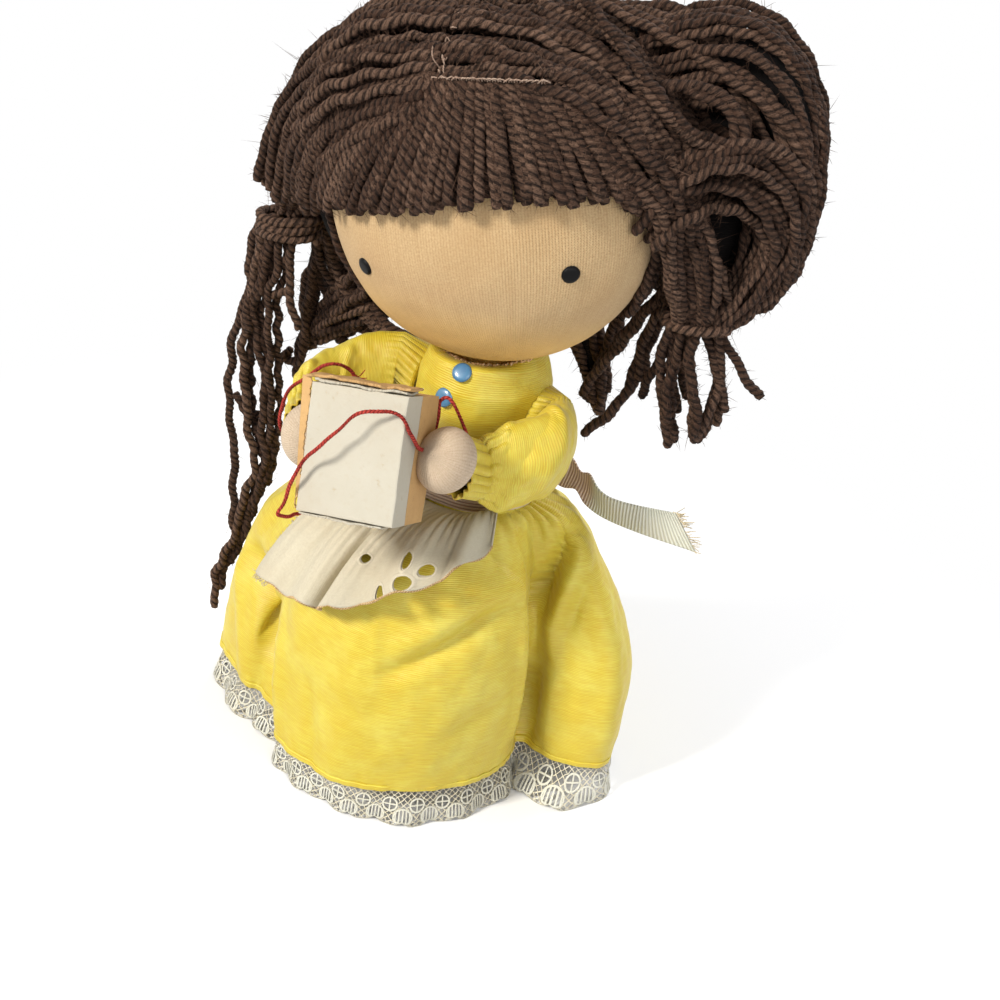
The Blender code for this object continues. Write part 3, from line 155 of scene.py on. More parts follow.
def carried_sides(paths):
    """Side and up vectors along many paths at once: each ring's side is the last ring's, made
    square to the new direction, so no tube twists by itself."""
    ahead = unit(np.gradient(paths, axis=1))
    side = np.empty_like(paths)
    side[:, 0] = unit(np.cross(ahead[:, 0], np.array([0.31, 0.17, 0.93])))
    for ring in range(1, paths.shape[1]):
        now, last = ahead[:, ring], side[:, ring - 1]
        side[:, ring] = unit(last - (last * now).sum(1, keepdims=True) * now)
    return side, np.cross(ahead, side)


# Meshes


def piece(name, points, faces, coords, material, body, tone=None, smooth_faces=True):
    """One mesh from vertex places, lists of faces and one UV pair for each face corner."""
    mesh = bpy.data.meshes.new(name)
    mesh.vertices.add(len(points))
    mesh.vertices.foreach_set("co", world(points).astype(np.float32).ravel())
    corners = np.concatenate([f.ravel() for f in faces])
    sizes = np.concatenate([np.full(len(f), f.shape[1]) for f in faces])
    mesh.loops.add(len(corners))
    mesh.loops.foreach_set("vertex_index", corners.astype(np.int32))
    mesh.polygons.add(len(sizes))
    mesh.polygons.foreach_set("loop_start", (np.cumsum(sizes) - sizes).astype(np.int32))
    mesh.polygons.foreach_set("use_smooth", np.full(len(sizes), smooth_faces))
    mesh.uv_layers.new(name="UVMap").data.foreach_set("uv", np.concatenate(coords).astype(np.float32).ravel())
    if tone is not None:
        mesh.attributes.new("tone", "FLOAT", "POINT").data.foreach_set("value", tone.astype(np.float32))
    mesh.update(calc_edges=True)
    mesh.validate()
    mesh.materials.append(material)
    made = bpy.data.objects.new(name, mesh)
    bpy.context.scene.collection.objects.link(made)
    if body:
        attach(made, body)
    return made


def stands_for(made, *nodes):
    """Puts a piece in place of CAD nodes by hiding them."""
    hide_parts(*nodes)
    return made


def grid_faces(rows, columns, closed=False):
    """Corner numbers of a grid's squares, once for vertices and once for an unrolled UV grid."""
    i, j = (a.ravel() for a in np.meshgrid(np.arange(rows - 1), np.arange(columns - 1 + closed), indexing="ij"))
    corner = [(i, j), (i, j + 1), (i + 1, j + 1), (i + 1, j)]
    vertex = np.stack([a * columns + b % columns for a, b in corner], axis=1)
    return vertex, np.stack([a * (columns + 1) + b for a, b in corner], axis=1)


def unrolled_grid(u, v):
    """UV pairs of a grid, row by row."""
    return np.stack(np.broadcast_arrays(u, v), axis=-1).reshape(-1, 2)


def surface(name, points, material, body, closed=False, ends=False, scale=None, smooth_faces=True):
    """A grid of points as one mesh. UV is millimetres along a middle row and a middle column.
    closed joins the last column to the first, and ends closes both end rows with fans."""
    rows, columns = points.shape[:2]
    faces, flat = grid_faces(rows, columns, closed)
    middle = points[rows // 2]
    u = run_of(steps(np.concatenate([middle, middle[:1] if closed else middle[-1:]])))
    v = run_of(steps(points).mean(axis=1))
    if scale is not None:
        u, v = (np.linspace(0, m, len(w)) if np.ndim(m) == 0 else m for m, w in zip(scale, (u, v)))
    unrolled = unrolled_grid(u[None, :], v[:, None])
    places = points.reshape(-1, 3)
    lists, coords = [faces], [unrolled[flat].reshape(-1, 2)]
    for row in (0, rows - 1) if ends else ():
        ring = row * columns + np.arange(columns)
        pair = (ring, np.roll(ring, -1)) if row else (np.roll(ring, -1), ring)
        lists.append(np.stack([*pair, np.full(columns, len(places))], axis=1))
        places = np.concatenate([places, places[ring].mean(axis=0, keepdims=True)])
        corner = row * (columns + 1) + np.arange(columns)
        a, b = unrolled[corner + (row == 0)], unrolled[corner + (row > 0)]
        coords.append(np.stack([a, b, (a + b) / 2], axis=1).reshape(-1, 2))
    a, b, c = (places[faces[:, k]] for k in (0, 1, 2))
    if (np.cross(b - a, c - a) * ((a + c) / 2 - places.mean(axis=0))).sum() < 0:
        coords = [w.reshape(-1, f.shape[1], 2)[:, ::-1].reshape(-1, 2) for w, f in zip(coords, lists)]
        lists = [f[:, ::-1] for f in lists]
    return piece(name, places, lists, coords, material, body, smooth_faces=smooth_faces)


def wall(made, thickness, offset=1.0):
    """Gives a cloth surface its thickness in millimetres, outwards by offset 1."""
    solid = made.modifiers.new("cloth", "SOLIDIFY")
    solid.thickness = thickness * MM
    solid.offset = offset
    solid.use_quality_normals = True
    return made


def cut_of(points, closed=False):
    """Width and length, in metres, of the flat piece a cloth grid was cut from: its length is the
    mean of its columns, and its width is its area over that length."""
    if closed:
        points = np.concatenate([points, points[:, :1]], axis=1)
    down, across = np.diff(points, axis=0)[:, :-1], np.diff(points, axis=1)[:-1]
    area = np.linalg.norm(np.cross(down, across), axis=-1).sum()
    length = steps(points).sum(axis=0).mean()
    return area / length * MM, length * MM


# The twist of two-ply yarn: half width at eight places round a strand, two fat plies and two grooves
PLY_SHARES = np.array([1.0, 0.95, 0.83, 0.95, 1.0, 0.95, 0.83, 0.95])
YARN = 1.02
PLY_PITCH = 2.9


def strands(name, routes, material, body, half=YARN, step=0.5, pitch=PLY_PITCH, seed=1, loose=0.16):
    """Yarn: each route is a tube whose eight columns wind round it once in each pitch, fat on the
    plies and thin in the grooves, and its line strays a little from its route in loose waves. UV is
    millimetres along and turns round the twisted section."""
    rng = np.random.default_rng(seed)
    routes = [np.asarray(r, float) for r in routes]
    routes = [r if r.shape[1] > 3 else np.column_stack([r, np.ones(len(r))]) for r in routes]
    lengths = np.array([steps(r).sum() for r in routes])
    counts = np.maximum(8, (np.ceil(lengths / step / 12) * 12).astype(int))
    places, faces, coords, tones, start = [], [], [], [], 0
    corner = np.arange(8)
    after = (corner + 1) % 8
    for count in np.unique(counts):
        chosen = np.flatnonzero(counts == count)
        each, long = (len(chosen), 1), lengths[chosen][:, None]
        paths = np.stack([along(routes[k], count) for k in chosen])
        side, up = carried_sides(paths[..., :3])
        run = np.linspace(0, 1, count)[None] * long
        wave = 2 * pi * run / rng.uniform(4.5, 9.0, each) + rng.uniform(0, 6, each)
        stray = smooth(run, 0.0, 4.0) * smooth(long - run, 0.0, 2.0) * loose
        paths[..., :3] += side * (stray * np.sin(wave))[..., None] + up * (stray * np.cos(wave * 0.77))[..., None]
        own_pitch = pitch * rng.uniform(0.86, 1.2, each)
        phase = run / own_pitch * 2 * pi + 0.5 * np.sin(wave * 0.6) + rng.uniform(0, 6, each)
        size = half * rng.uniform(0.93, 1.07, each) * (1 + 0.04 * np.sin(run / 4.7 + phase[:, :1]))
        size = size * paths[..., 3] * (0.72 + 0.28 * smooth(np.minimum(run, long - run), -0.3, 0.7))
        angle, wide = full_turn(8) - phase[..., None], size[..., None] * PLY_SHARES
        ring = paths[:, :, None, :3] + (np.cos(angle) * wide)[..., None] * side[:, :, None]
        ring = ring + (np.sin(angle) * wide)[..., None] * up[:, :, None]
        block, last = count * 8, (count - 1) * 8
        quads, flat = grid_faces(count, 8, True)
        low = np.stack([after, corner, np.full(8, block)], axis=1)
        top = np.stack([corner + last, after + last, np.full(8, block + 1)], axis=1)
        for k in range(len(chosen)):
            places += [ring[k].reshape(-1, 3), paths[k, [0, -1], :3]]
            u = run[k] + rng.uniform(0, 50)
            faces += [quads + start, low + start, top + start]
            coords.append(unrolled_grid(u[:, None], np.arange(9)[None] / 8)[flat].reshape(-1, 2))
            coords += [np.tile([[end, 0.0]], (24, 1)) for end in (u[0], u[-1])]
            tones.append(np.full(block + 2, rng.uniform(0, 1)))
            start += block + 2
    return piece(name, np.concatenate(places), faces, coords, material, body, np.concatenate(tones))


def bundle(route, count, seed, fill=(1.0,), twist=0.0, wander=0.18, trim=0.0, thin=1.0):
    """Strands that run together through a tapering mass: the route gives x, y, z and radius, and
    every strand keeps a place round it, wandering a little and turning by twist on the way."""
    rng = np.random.default_rng(seed)
    line, way = along(route, 60), np.linspace(0, 1, 60)
    side, up = carried_sides(line[None, :, :3])
    room = np.maximum(line[:, 3] - YARN, 0.25)
    made = []
    for layer, share in enumerate(fill):
        number = max(1, round(count * share))
        for k in range(number):
            turn = 2 * pi * (k + 0.5 * layer + rng.uniform(-0.2, 0.2)) / number + twist * way
            turn = turn + wander * np.sin(way * rng.uniform(3, 7) + rng.uniform(0, 6))
            reach = room * share * (1 + 0.08 * np.sin(way * rng.uniform(4, 9) + rng.uniform(0, 6)))
            path = line[:, :3] + reach[:, None] * (np.cos(turn)[:, None] * side[0] + np.sin(turn)[:, None] * up[0])
            last = 60 - int(rng.uniform(0, trim) * 60)
            made.append(np.column_stack([path, 1 - (1 - thin) * way])[:last])
    return made


# Shader building


def tint(red, green, blue):
    """A picture colour, 0 to 255, as the linear colour that shaders take."""
    c = np.array([red, green, blue]) / 255
    return (*np.where(c <= 0.04045, c / 12.92, ((c + 0.055) / 1.055) ** 2.4).tolist(), 1.0)


class Value:
    """A shader value that reads like a number: each sum or product adds a Math node."""

    def __init__(self, g, socket):
        self.g, self.socket = g, socket

    def fn(self, operation, other=0.0, clamp=False):
        return self.g.math(operation, self, other, clamp)

    def ramp(self, low, high):
        """0 below low, 1 above high, smooth between."""
        return self.g.add("ShaderNodeMapRange", {0: self, 1: low, 2: high}, interpolation_type="SMOOTHSTEP")[0]

    def __add__(self, other):
        return self.fn("ADD", other)

    def __sub__(self, other):
        return self.fn("SUBTRACT", other)

    def __rsub__(self, other):
        return self.g.math("SUBTRACT", other, self)

    def __mul__(self, other):
        return self.fn("MULTIPLY", other)

    def __truediv__(self, other):
        return self.fn("DIVIDE", other)

    def __pow__(self, other):
        return self.fn("POWER", other)


class Outputs:
    """A node's outputs, by name or number."""

    def __init__(self, g, node):
        self.g, self.node = g, node

    def __getitem__(self, key):
        return Value(self.g, self.node.outputs[key])


class Graph:
    """Adds nodes to one tree and links them, so that a finish reads as a short list of steps."""

    def __init__(self, tree):
        self.tree = tree

    def put(self, inputs, key, value):
        if isinstance(value, Value):
            self.tree.links.new(value.socket, inputs[key])
        else:
            inputs[key].default_value = value

    def add(self, kind, inputs=(), **settings):
        made = self.tree.nodes.new(kind)
        for key, value in settings.items():
            setattr(made, key, value)
        for key, value in dict(inputs).items():
            self.put(made.inputs, key, value)
        return Outputs(self, made)

    def set(self, **sockets):
        """Sets or links inputs of the material's Principled shader."""
        for key, value in sockets.items():
            self.put(self.tree.nodes["Principled BSDF"].inputs, key.replace("_", " "), value)

    def math(self, operation, a, b=0.0, clamp=False):
        return self.add("ShaderNodeMath", {0: a, 1: b}, operation=operation, use_clamp=clamp)[0]

    def mix(self, share, a, b):
        return self.add("ShaderNodeMix", {0: share, 6: a, 7: b}, data_type="RGBA")[2]

    def noise(self, vector, scale, detail=3.0, rough=0.55):
        given = {"Vector": vector, "Scale": scale, "Detail": detail, "Roughness": rough}
        return self.add("ShaderNodeTexNoise", given)[0]

    def stretched(self, vector, x, y, z=1.0):
        """The vector with each axis times its own scale."""
        return self.add("ShaderNodeMapping", {"Vector": vector, "Scale": (x, y, z)})[0]

    def split(self, vector):
        made = self.add("ShaderNodeSeparateXYZ", {0: vector})
        return made[0], made[1], made[2]

    def group(self, tree, **inputs):
        return self.add("ShaderNodeGroup", inputs, node_tree=tree)

    def place(self):
        """Object coordinates, in metres."""
        return self.add("ShaderNodeTexCoord")["Object"]

    def cloth(self):
        """The piece's own UV, in millimetres."""
        return self.add("ShaderNodeUVMap", uv_map="UVMap")[0]

    def worn(self, colour, soiled, soil, speck):
        """Sends a colour through the handling group to the shader."""
        given = {"Place": self.place(), "Colour": colour, "Soiled": soiled, "Soil": soil, "Speck": speck}
        self.set(Base_Color=self.group(HANDLING, **given)["Colour"])

    def bumped(self, height, distance):
        """Raises the surface by a height; distance is in millimetres."""
        bump = self.add("ShaderNodeBump", {"Height": height, "Distance": distance * MM, "Strength": 1.0})
        self.set(Normal=bump["Normal"])


FLOAT, COLOUR, VECTOR = "NodeSocketFloat", "NodeSocketColor", "NodeSocketVector"


def effect(name, build, **inputs):
    """A shared shader group: inputs give each socket's kind and default, and build fills it."""
    tree = bpy.data.node_groups.new(name, "ShaderNodeTree")
    for title, (kind, value) in {"Place": (VECTOR, None), **inputs}.items():
        made = tree.interface.new_socket(title, in_out="INPUT", socket_type=kind)
        if value is not None:
            made.default_value = value
    g = Graph(tree)
    results = build(g, g.add("NodeGroupInput"))
    for title in results:
        tree.interface.new_socket(title, in_out="OUTPUT", socket_type=COLOUR if title == "Colour" else FLOAT)
    g.add("NodeGroupOutput", results)
    return tree


def build_handling(g, given):
    """Soil and fading of a handled piece: wide cloudy noise and fine specks, in Object metres."""
    cloud = g.noise(given["Place"], 55.0).ramp(0.38, 0.72)
    speck = g.noise(given["Place"], 900.0, 2.0).ramp(0.5, 0.8)
    dark = g.mix(cloud * given["Soil"], given["Colour"], given["Soiled"])
    return {"Colour": g.mix(speck * given["Speck"], dark, given["Soiled"])}


def build_knit(g, given):
    """Stockinette: columns of small V stitches. Across, a rounded rib a column wide; down, each
    stitch leans away from the column's middle. Rib is the knit's colour share: painted shade in
    the gaps between ribs, with random tone from two noises."""
    place = given["Place"]
    u, v, _ = g.split(place)
    inside = ((u / given["Column"]).fn("FRACT") - 0.5).fn("ABSOLUTE")
    rib = 1.0 - (inside * 2.0) ** 2.0
    loops = ((v / given["Stitch"] + inside * 1.3).fn("FRACT") - 0.5).fn("ABSOLUTE")
    pulled = g.noise(g.stretched(place, 1.3, 0.05), 1.0)
    height = rib * 0.8 + (0.4 - loops * 1.1) + g.noise(place, 7.0, 4.0) * 0.45
    # shade: painted shade in the gaps between ribs, plus random tone from two noises
    shade = rib * 0.34 + pulled * 0.6 + g.noise(place, 2.4, 2.0) * 1.5
    return {"Height": height, "Rib": shade.fn("SUBTRACT", 0.72, True)}


def build_yarn(g, given):
    """Spun fibres that follow the twisted plies: noise long along the strand and fine round it,
    with a line of painted shade in each groove between two plies."""
    u, v, _ = g.split(given["Place"])
    place = g.add("ShaderNodeCombineXYZ", {0: u * 1.1, 1: v * 13.0})[0]
    fibre, coarse = g.noise(place, 1.0, 4.0, 0.7), g.noise(place, 0.4, 2.0)
    groove = ((v * (4 * pi)).fn("COSINE") + (fibre - 0.5) * 3.0).ramp(-1.5, 0.5)
    return {"Height": fibre * 1.3 + groove * 0.4, "Groove": groove, "Fibre": fibre * 0.7 + coarse * 0.3}


def build_satin(g, given):
    """Ribbed satin: fine threads across, with slubs where a thread thickens for a way, and wide
    soft clouds that the finish uses as painted sheen.
    """
    place = given["Place"]
    u, v, _ = g.split(place)
    warp, weft = (v * (2 * pi * 2.6)).fn("SINE"), (u * (2 * pi * 6.0)).fn("SINE")
    slub = g.noise(g.stretched(place, 0.22, 2.6), 1.0)
    painted_sheen = g.noise(g.stretched(place, 0.12, 0.12), 1.0, 4.0, 0.6)
    height = warp * 0.3 + weft * 0.06 + slub * 0.6
    return {"Height": height, "Thread": (warp * 0.17).fn("ADD", slub * 0.8, True), "Crease": painted_sheen}


def build_weave(g, given):
    """Plain weave: warp and weft sines that pass over each other by turns, with loose lint."""
    a, b = ((w * (2 * pi * 2.6)).fn("SINE") for w in g.split(given["Place"])[:2])
    lint = g.noise(given["Place"], 2.2, 4.0)
    return {"Height": (a * b).fn("ABSOLUTE") * 0.5 + lint, "Lint": lint}


def build_card(g, given):
    """Paper board: long pulp fibres, faint blotches and small scuffs, in Object metres."""
    place = given["Place"]
    pulp = g.noise(g.stretched(place, 1.0, 1.0, 3.0), 1400.0)
    scuff = g.noise(place, 430.0, 5.0, 0.7).ramp(0.6, 0.72)
    return {"Height": pulp + scuff * -0.8, "Blotch": g.noise(place, 120.0, 4.0, 0.6), "Scuff": scuff}


HANDLING = effect(
    "Handled", build_handling, Colour=(COLOUR, None), Soiled=(COLOUR, None), Soil=(FLOAT, 0.3), Speck=(FLOAT, 0.1)
)
KNIT = effect("Stockinette", build_knit, Column=(FLOAT, 0.57), Stitch=(FLOAT, 0.48))
SPUN = effect("Two-ply yarn", build_yarn)
SATIN = effect("Ribbed satin", build_satin)
WEAVE = effect("Plain weave", build_weave)
BOARD = effect("Board", build_card)


# Finishes


def finish(name, **sockets):
    """A new material and its graph, with its Principled shader's own values set."""
    made = bpy.data.materials.new(name)
    made.use_nodes = True
    g = Graph(made.node_tree)
    g.set(**sockets)
    return made, g


def knit_finish(name, light, dark, soiled, column=0.57, depth=0.09, chin=False):
    """Cotton stockinette in two tones, ribs lighter than the gaps between them, whose darker tone is
    painted shade; a face gets a painted yellow reflection of the dress towards the chin."""
    made, g = finish(name, Roughness=0.9, Sheen_Weight=0.08, Sheen_Roughness=0.5, Specular_IOR_Level=0.3)
    knit = g.group(KNIT, Place=g.cloth(), Column=column, Stitch=column * 0.85)
    # dark shows in the gaps between ribs as painted shade
    base = g.mix(knit["Rib"], dark, light)
    if chin:
        # painted yellow reflection of the dress on the lower face: full below 101 mm, gone above 121 mm
        low = 1.0 - g.split(g.place())[2].ramp((101 + DOLL[2]) * MM, (121 + DOLL[2]) * MM)
        base = g.mix(low * 0.9, base, tint(246, 194, 84))
    g.worn(base, soiled, 0.3, 0.12)
    g.bumped(knit["Height"], depth)
    return made


def yarn_finish(name, light, mid, dark, depth=0.22):
    """Dyed yarn: the plies' fibres vary between two tones and the grooves sink into a third, darker
    one as painted shade; the third also colours random flecks.
    """
    made, g = finish(name, Roughness=0.85, Specular_IOR_Level=0.2)
    spun = g.group(SPUN, Place=g.cloth())
    tone = g.add("ShaderNodeAttribute", attribute_name="tone")["Fac"]
    body = g.mix((spun["Fibre"] * 3.4 + tone * 0.7).ramp(1.5, 3.0), mid, light)
    flecks = g.noise(g.place(), 1900.0, 3.0, 0.7).ramp(0.5, 0.66)
    # Groove mixes in the dark tone as painted shade in the grooves; flecks are random darker fibres
    g.set(Base_Color=g.mix(spun["Groove"], dark, g.mix(flecks * 0.7, body, dark)))
    g.bumped(spun["Height"], depth)
    return made


def satin_finish(name, light, mid, dark):
    """Ribbed satin: threads in two tones, the darker being the yellow in painted shade, laid on by
    the ribs and by random slubs, with clouds of painted sheen in the lighter highlight tone and a
    soft gloss along them.
    """
    made, g = finish(name, Specular_IOR_Level=0.5, Sheen_Weight=0.12, Sheen_Roughness=0.35, Anisotropic=0.5)
    satin = g.group(SATIN, Place=g.cloth())
    base = g.mix(satin["Thread"].ramp(0.1, 0.8), dark, mid)
    g.worn(g.mix(satin["Crease"].ramp(0.4, 0.75) * 0.3, base, light), dark, 0.16, 0.05)
    g.set(Roughness=satin["Thread"] * 0.18 + 0.38)
    g.bumped(satin["Height"], 0.06)
    return made


def card_finish(name, light, dark, scuffed, depth=0.05):
    """Board with pulp fibres, faint blotches and scuffs along its edges."""
    made, g = finish(name, Roughness=0.82)
    board = g.group(BOARD, Place=g.place())
    g.worn(g.mix(board["Scuff"] * 0.5, g.mix(board["Blotch"], dark, light), scuffed), scuffed, 0.2, 0.15)
    g.bumped(board["Height"], depth)
    return made


def weave_finish(name, light, dark, soiled, eyelets):
    """Plain cotton; alpha cuts the eyelets (x, z and half widths in doll millimetres), each in a
    raised stitched rim."""
    made, g = finish(name, Roughness=0.88, Sheen_Weight=0.15)
    weave = g.group(WEAVE, Place=g.cloth())
    x, _, z = g.split(g.place())
    near = 9.0
    for at_x, at_z, wide, tall in eyelets:
        off_x = (x - (at_x + DOLL[0]) * MM) / (wide * MM)
        off_z = (z - (at_z + DOLL[2]) * MM) / (tall * MM)
        near = (off_x**2.0 + off_z**2.0).fn("MINIMUM", near)
    near = near + g.noise(g.place(), 900.0) * 0.4
    g.set(Alpha=near.ramp(0.95, 1.15))
    rim = near.ramp(1.0, 1.2) * (1.0 - near.ramp(1.5, 2.0))
    base = g.mix(rim * 0.5, g.mix(weave["Lint"], dark, light), tint(228, 218, 194))
    g.worn(base, soiled, 0.22, 0.1)
    g.bumped(weave["Height"] + rim * 0.9, 0.14)
    return made


def bead_black():
    """Flat black bead: glossy, with fine rubbed scratches."""
    made, g = finish("Black bead", Specular_IOR_Level=0.12)
    rub = g.noise(g.place(), 2600.0)
    g.set(Base_Color=g.mix(rub, tint(5, 5, 6), tint(18, 17, 17)), Roughness=rub * 0.25 + 0.3)
    g.bumped(rub, 0.02)
    return made


def pearl_blue():
    """Pearly light blue button: clouded colour under a clear coat, with painted shade that darkens
    it towards its outline as seen.
    """
    made, g = finish("Blue pearl", Roughness=0.34, Coat_Weight=0.5, Coat_Roughness=0.12)
    cloud = g.noise(g.place(), 520.0)
    rim = g.add("ShaderNodeLayerWeight", {"Blend": 0.35})["Facing"]
    base = g.mix(cloud, tint(44, 92, 132), tint(88, 138, 172))
    # rim: painted shade, darker where the surface turns away from the view
    g.set(Base_Color=g.mix(rim * 0.35, base, tint(48, 92, 130)))
    g.bumped(cloud, 0.02)
    return made


def ribbon_finish():
    """Grosgrain: round ribs across the ribbon, mauve-beige, darker between the ribs as painted shade,
    and paler from about 21 to 25 mm along its length onwards.
    """
    made, g = finish("Grosgrain", Roughness=0.58, Sheen_Weight=0.2, Sheen_Roughness=0.4)
    place = g.cloth()
    u, v, _ = g.split(place)
    rib, fine = (v * (2 * pi * 1.35)).fn("SINE"), (u * (2 * pi * 4.0)).fn("SINE")
    lint, ribbed = g.noise(place, 1.6, 4.0), rib.ramp(-0.9, 0.7)
    # base and pale: each darker between the ribs as painted shade
    base = g.mix(ribbed, tint(150, 116, 98), tint(208, 184, 162))
    pale = g.mix(ribbed, tint(172, 172, 156), tint(212, 214, 198))
    g.worn(g.mix((v + lint * 4.0).ramp(21.0, 25.0), base, pale), tint(206, 196, 178), 0.35, 0.1)
    g.bumped(rib * 0.6 + fine * 0.12 + lint, 0.13)
    return made


def thread_line(value, at, half):
    """1 where a value is within half of at, 0 beyond: a thread along that line."""
    return 1.0 - (value - at).fn("ABSOLUTE").ramp(half * 0.8, half * 1.25)


def inside_of(reach, edge):
    """1 inside an edge, 0 outside."""
    return 1.0 - reach.ramp(edge - 0.08, edge + 0.08)


LACE_STEP = 5.8


def lace_finish():
    """Machine lace: barred round medallions one step apart, crossed rings between and above them,
    and a slanted net. Alpha cuts the holes; u runs along the hem and v down, in millimetres."""
    made, g = finish("Cream lace", Roughness=0.85, Sheen_Weight=0.15)
    place = g.cloth()
    u, v, _ = g.split(place)
    x, flower_x = ((((u / LACE_STEP) + shift).fn("FRACT") - 0.5) * LACE_STEP for shift in (0.0, 0.5))
    y, flower_y = v - 8.0, v - 5.2
    reach, flower = (x**2.0 + y**2.0) ** 0.5, (flower_x**2.0 + flower_y**2.0) ** 0.5
    bars = (x * (2 * pi / 0.72)).fn("COSINE").ramp(-0.1, 0.3) * inside_of(reach, 1.8)
    cross = thread_line(flower_x, 0.0, 0.16).fn("MAXIMUM", thread_line(flower_y, 0.0, 0.16))
    petals = thread_line(flower, 1.5, 0.2).fn("MAXIMUM", inside_of(flower, 1.5) * cross)
    slope = g.noise(place, 0.5, 1.0) * 1.2
    slants = (u + v + slope, u - v - slope)
    nets = [1.0 - (w * (pi / 1.45)).fn("SINE").fn("ABSOLUTE").ramp(0.15, 0.27) for w in slants]
    clear = 1.0 - inside_of(reach, 1.7).fn("MAXIMUM", inside_of(flower, 1.4))
    solid = thread_line(reach, 1.85, 0.2)
    for part in (bars, petals, 1.0 - v.ramp(1.7, 2.0), v.ramp(10.0, 10.2)):
        solid = solid.fn("MAXIMUM", part)
    shown = solid.fn("MAXIMUM", nets[0].fn("MAXIMUM", nets[1]) * clear)
    g.set(Alpha=shown.ramp(0.4, 0.6))
    lint = g.noise(place, 5.0, 4.0)
    base = g.mix(solid, tint(220, 212, 186), g.mix(lint, tint(208, 206, 188), tint(224, 223, 210)))
    g.worn(base, tint(200, 186, 152), 0.25, 0.1)
    g.bumped(solid * 0.8 + lint, 0.16)
    return made


def floor_finish():
    """Plain pale floor: where the camera sees it, it is near white, keeps the doll's shadow near
    the doll, and fades into plain white farther out."""
    made, g = finish("Pale floor", Roughness=1.0, Specular_IOR_Level=0.0, Emission_Strength=1.0)
    path = g.add("ShaderNodeLightPath")
    seen = path["Is Camera Ray"].fn("MAXIMUM", path["Is Glossy Ray"], True)
    x, y, _ = g.split(g.place())
    far = ((x**2.0 + y**2.0) ** 0.5).ramp(0.07, 0.21) * seen
    base, black = g.mix(seen, (0.62, 0.62, 0.62, 1), (0.95, 0.95, 0.95, 1)), (0, 0, 0, 1)
    g.set(Base_Color=g.mix(far, base, black), Emission_Color=g.mix(far, black, (1, 1, 1, 1)))
    return made


HAIR = yarn_finish("Brown yarn", tint(122, 95, 78), tint(60, 40, 29), tint(20, 11, 6), 0.3)
# Near-black yarn as painted shade: the ground under the hair and the insides of bunches
PAINTED_SHADE_YARN = yarn_finish("Brown yarn below", tint(18, 11, 8), tint(14, 8, 6), tint(8, 4, 3))
FACE_KNIT = knit_finish("Beige stockinette", tint(200, 172, 130), tint(168, 136, 94), tint(164, 126, 80), chin=True)
HAND_KNIT = knit_finish("Pale stockinette", tint(210, 192, 168), tint(178, 156, 130), tint(176, 148, 118), 0.5, 0.08)
# light is the yellow as a painted highlight, mid its plain tone, dark the yellow in painted shade
YELLOW_SATIN = satin_finish("Yellow satin", tint(222, 222, 112), tint(211, 201, 72), tint(194, 160, 30))
WHITE_CARD = card_finish("White board", tint(188, 183, 168), tint(178, 171, 153), tint(170, 150, 118))
KRAFT_CARD = card_finish("Brown board", tint(206, 168, 112), tint(178, 136, 84), tint(120, 88, 52), 0.08)
EYELETS = (
    (-6.2, 63.5, 1.0, 0.8), (2.8, 66.9, 1.0, 1.3), (6.9, 65.8, 1.5, 1.0), (3.9, 63.9, 1.8, 1.2), (0.4, 60.9, 1.5, 1.0)
)
APRON_COTTON = weave_finish("Cream cotton", tint(218, 210, 186), tint(196, 186, 160), tint(178, 154, 114), EYELETS)
TRIM_THREAD = yarn_finish("Peach thread", tint(242, 214, 170), tint(226, 188, 132), tint(176, 132, 78), 0.1)
CREAM_THREAD = yarn_finish("Cream thread", tint(240, 230, 204), tint(220, 204, 170), tint(170, 150, 112), 0.1)
SEAM_THREAD = yarn_finish("Seam thread", tint(206, 184, 164), tint(176, 148, 128), tint(120, 92, 76), 0.1)
YELLOW_THREAD = yarn_finish("Yellow thread", tint(244, 222, 110), tint(228, 190, 70), tint(180, 132, 40), 0.1)
RED_THREAD = yarn_finish("Red floss", tint(206, 82, 68), tint(160, 46, 42), tint(106, 24, 24), 0.1)
BLACK_BEAD, BLUE_PEARL, GROSGRAIN, HEM_LACE = bead_black(), pearl_blue(), ribbon_finish(), lace_finish()


# Camera, lights and floor

CAMERA_TURN, CAMERA_RISE, CAMERA_ROLL = (math.radians(a) for a in (20.0, 30.0, 10.0))
CAMERA_AWAY = 318.0
CAMERA_AIM = np.array([7.0, 0.0, 66.0])


def camera():
    """The photograph's view: it looks along minus back at the aim, rolled about that line."""
    sa, ca = math.sin(CAMERA_TURN), math.cos(CAMERA_TURN)
    se, ce = math.sin(CAMERA_RISE), math.cos(CAMERA_RISE)
    sr, cr = math.sin(CAMERA_ROLL), math.cos(CAMERA_ROLL)
    back, right = np.array([sa * ce, -ca * ce, se]), np.array([ca, sa, 0.0])
    up = np.cross(back, right)
    lens = bpy.data.cameras.new("view")
    lens.lens, lens.sensor_width, lens.clip_start, lens.clip_end = 54.0, 36.0, 0.01, 10.0
    made = bpy.data.objects.new("view", lens)
    place = Matrix(np.stack([right * cr + up * sr, up * cr - right * sr, back], axis=1).tolist()).to_4x4()
    place.translation = Vector(world(CAMERA_AIM + back * CAMERA_AWAY))
    made.matrix_world = place
    bpy.context.scene.collection.objects.link(made)
    bpy.context.scene.camera = made


def lamp(name, place, aim, size, power, colour=(1.0, 1.0, 1.0)):
    """A square soft light that looks from place to aim."""
    light = bpy.data.lights.new(name, "AREA")
    light.energy, light.size, light.color = power, size * MM, colour
    made = bpy.data.objects.new(name, light)
    made.location = Vector(world(place))
    made.rotation_euler = (Vector(world(aim)) - made.location).to_track_quat("-Z", "Y").to_euler()
    bpy.context.scene.collection.objects.link(made)


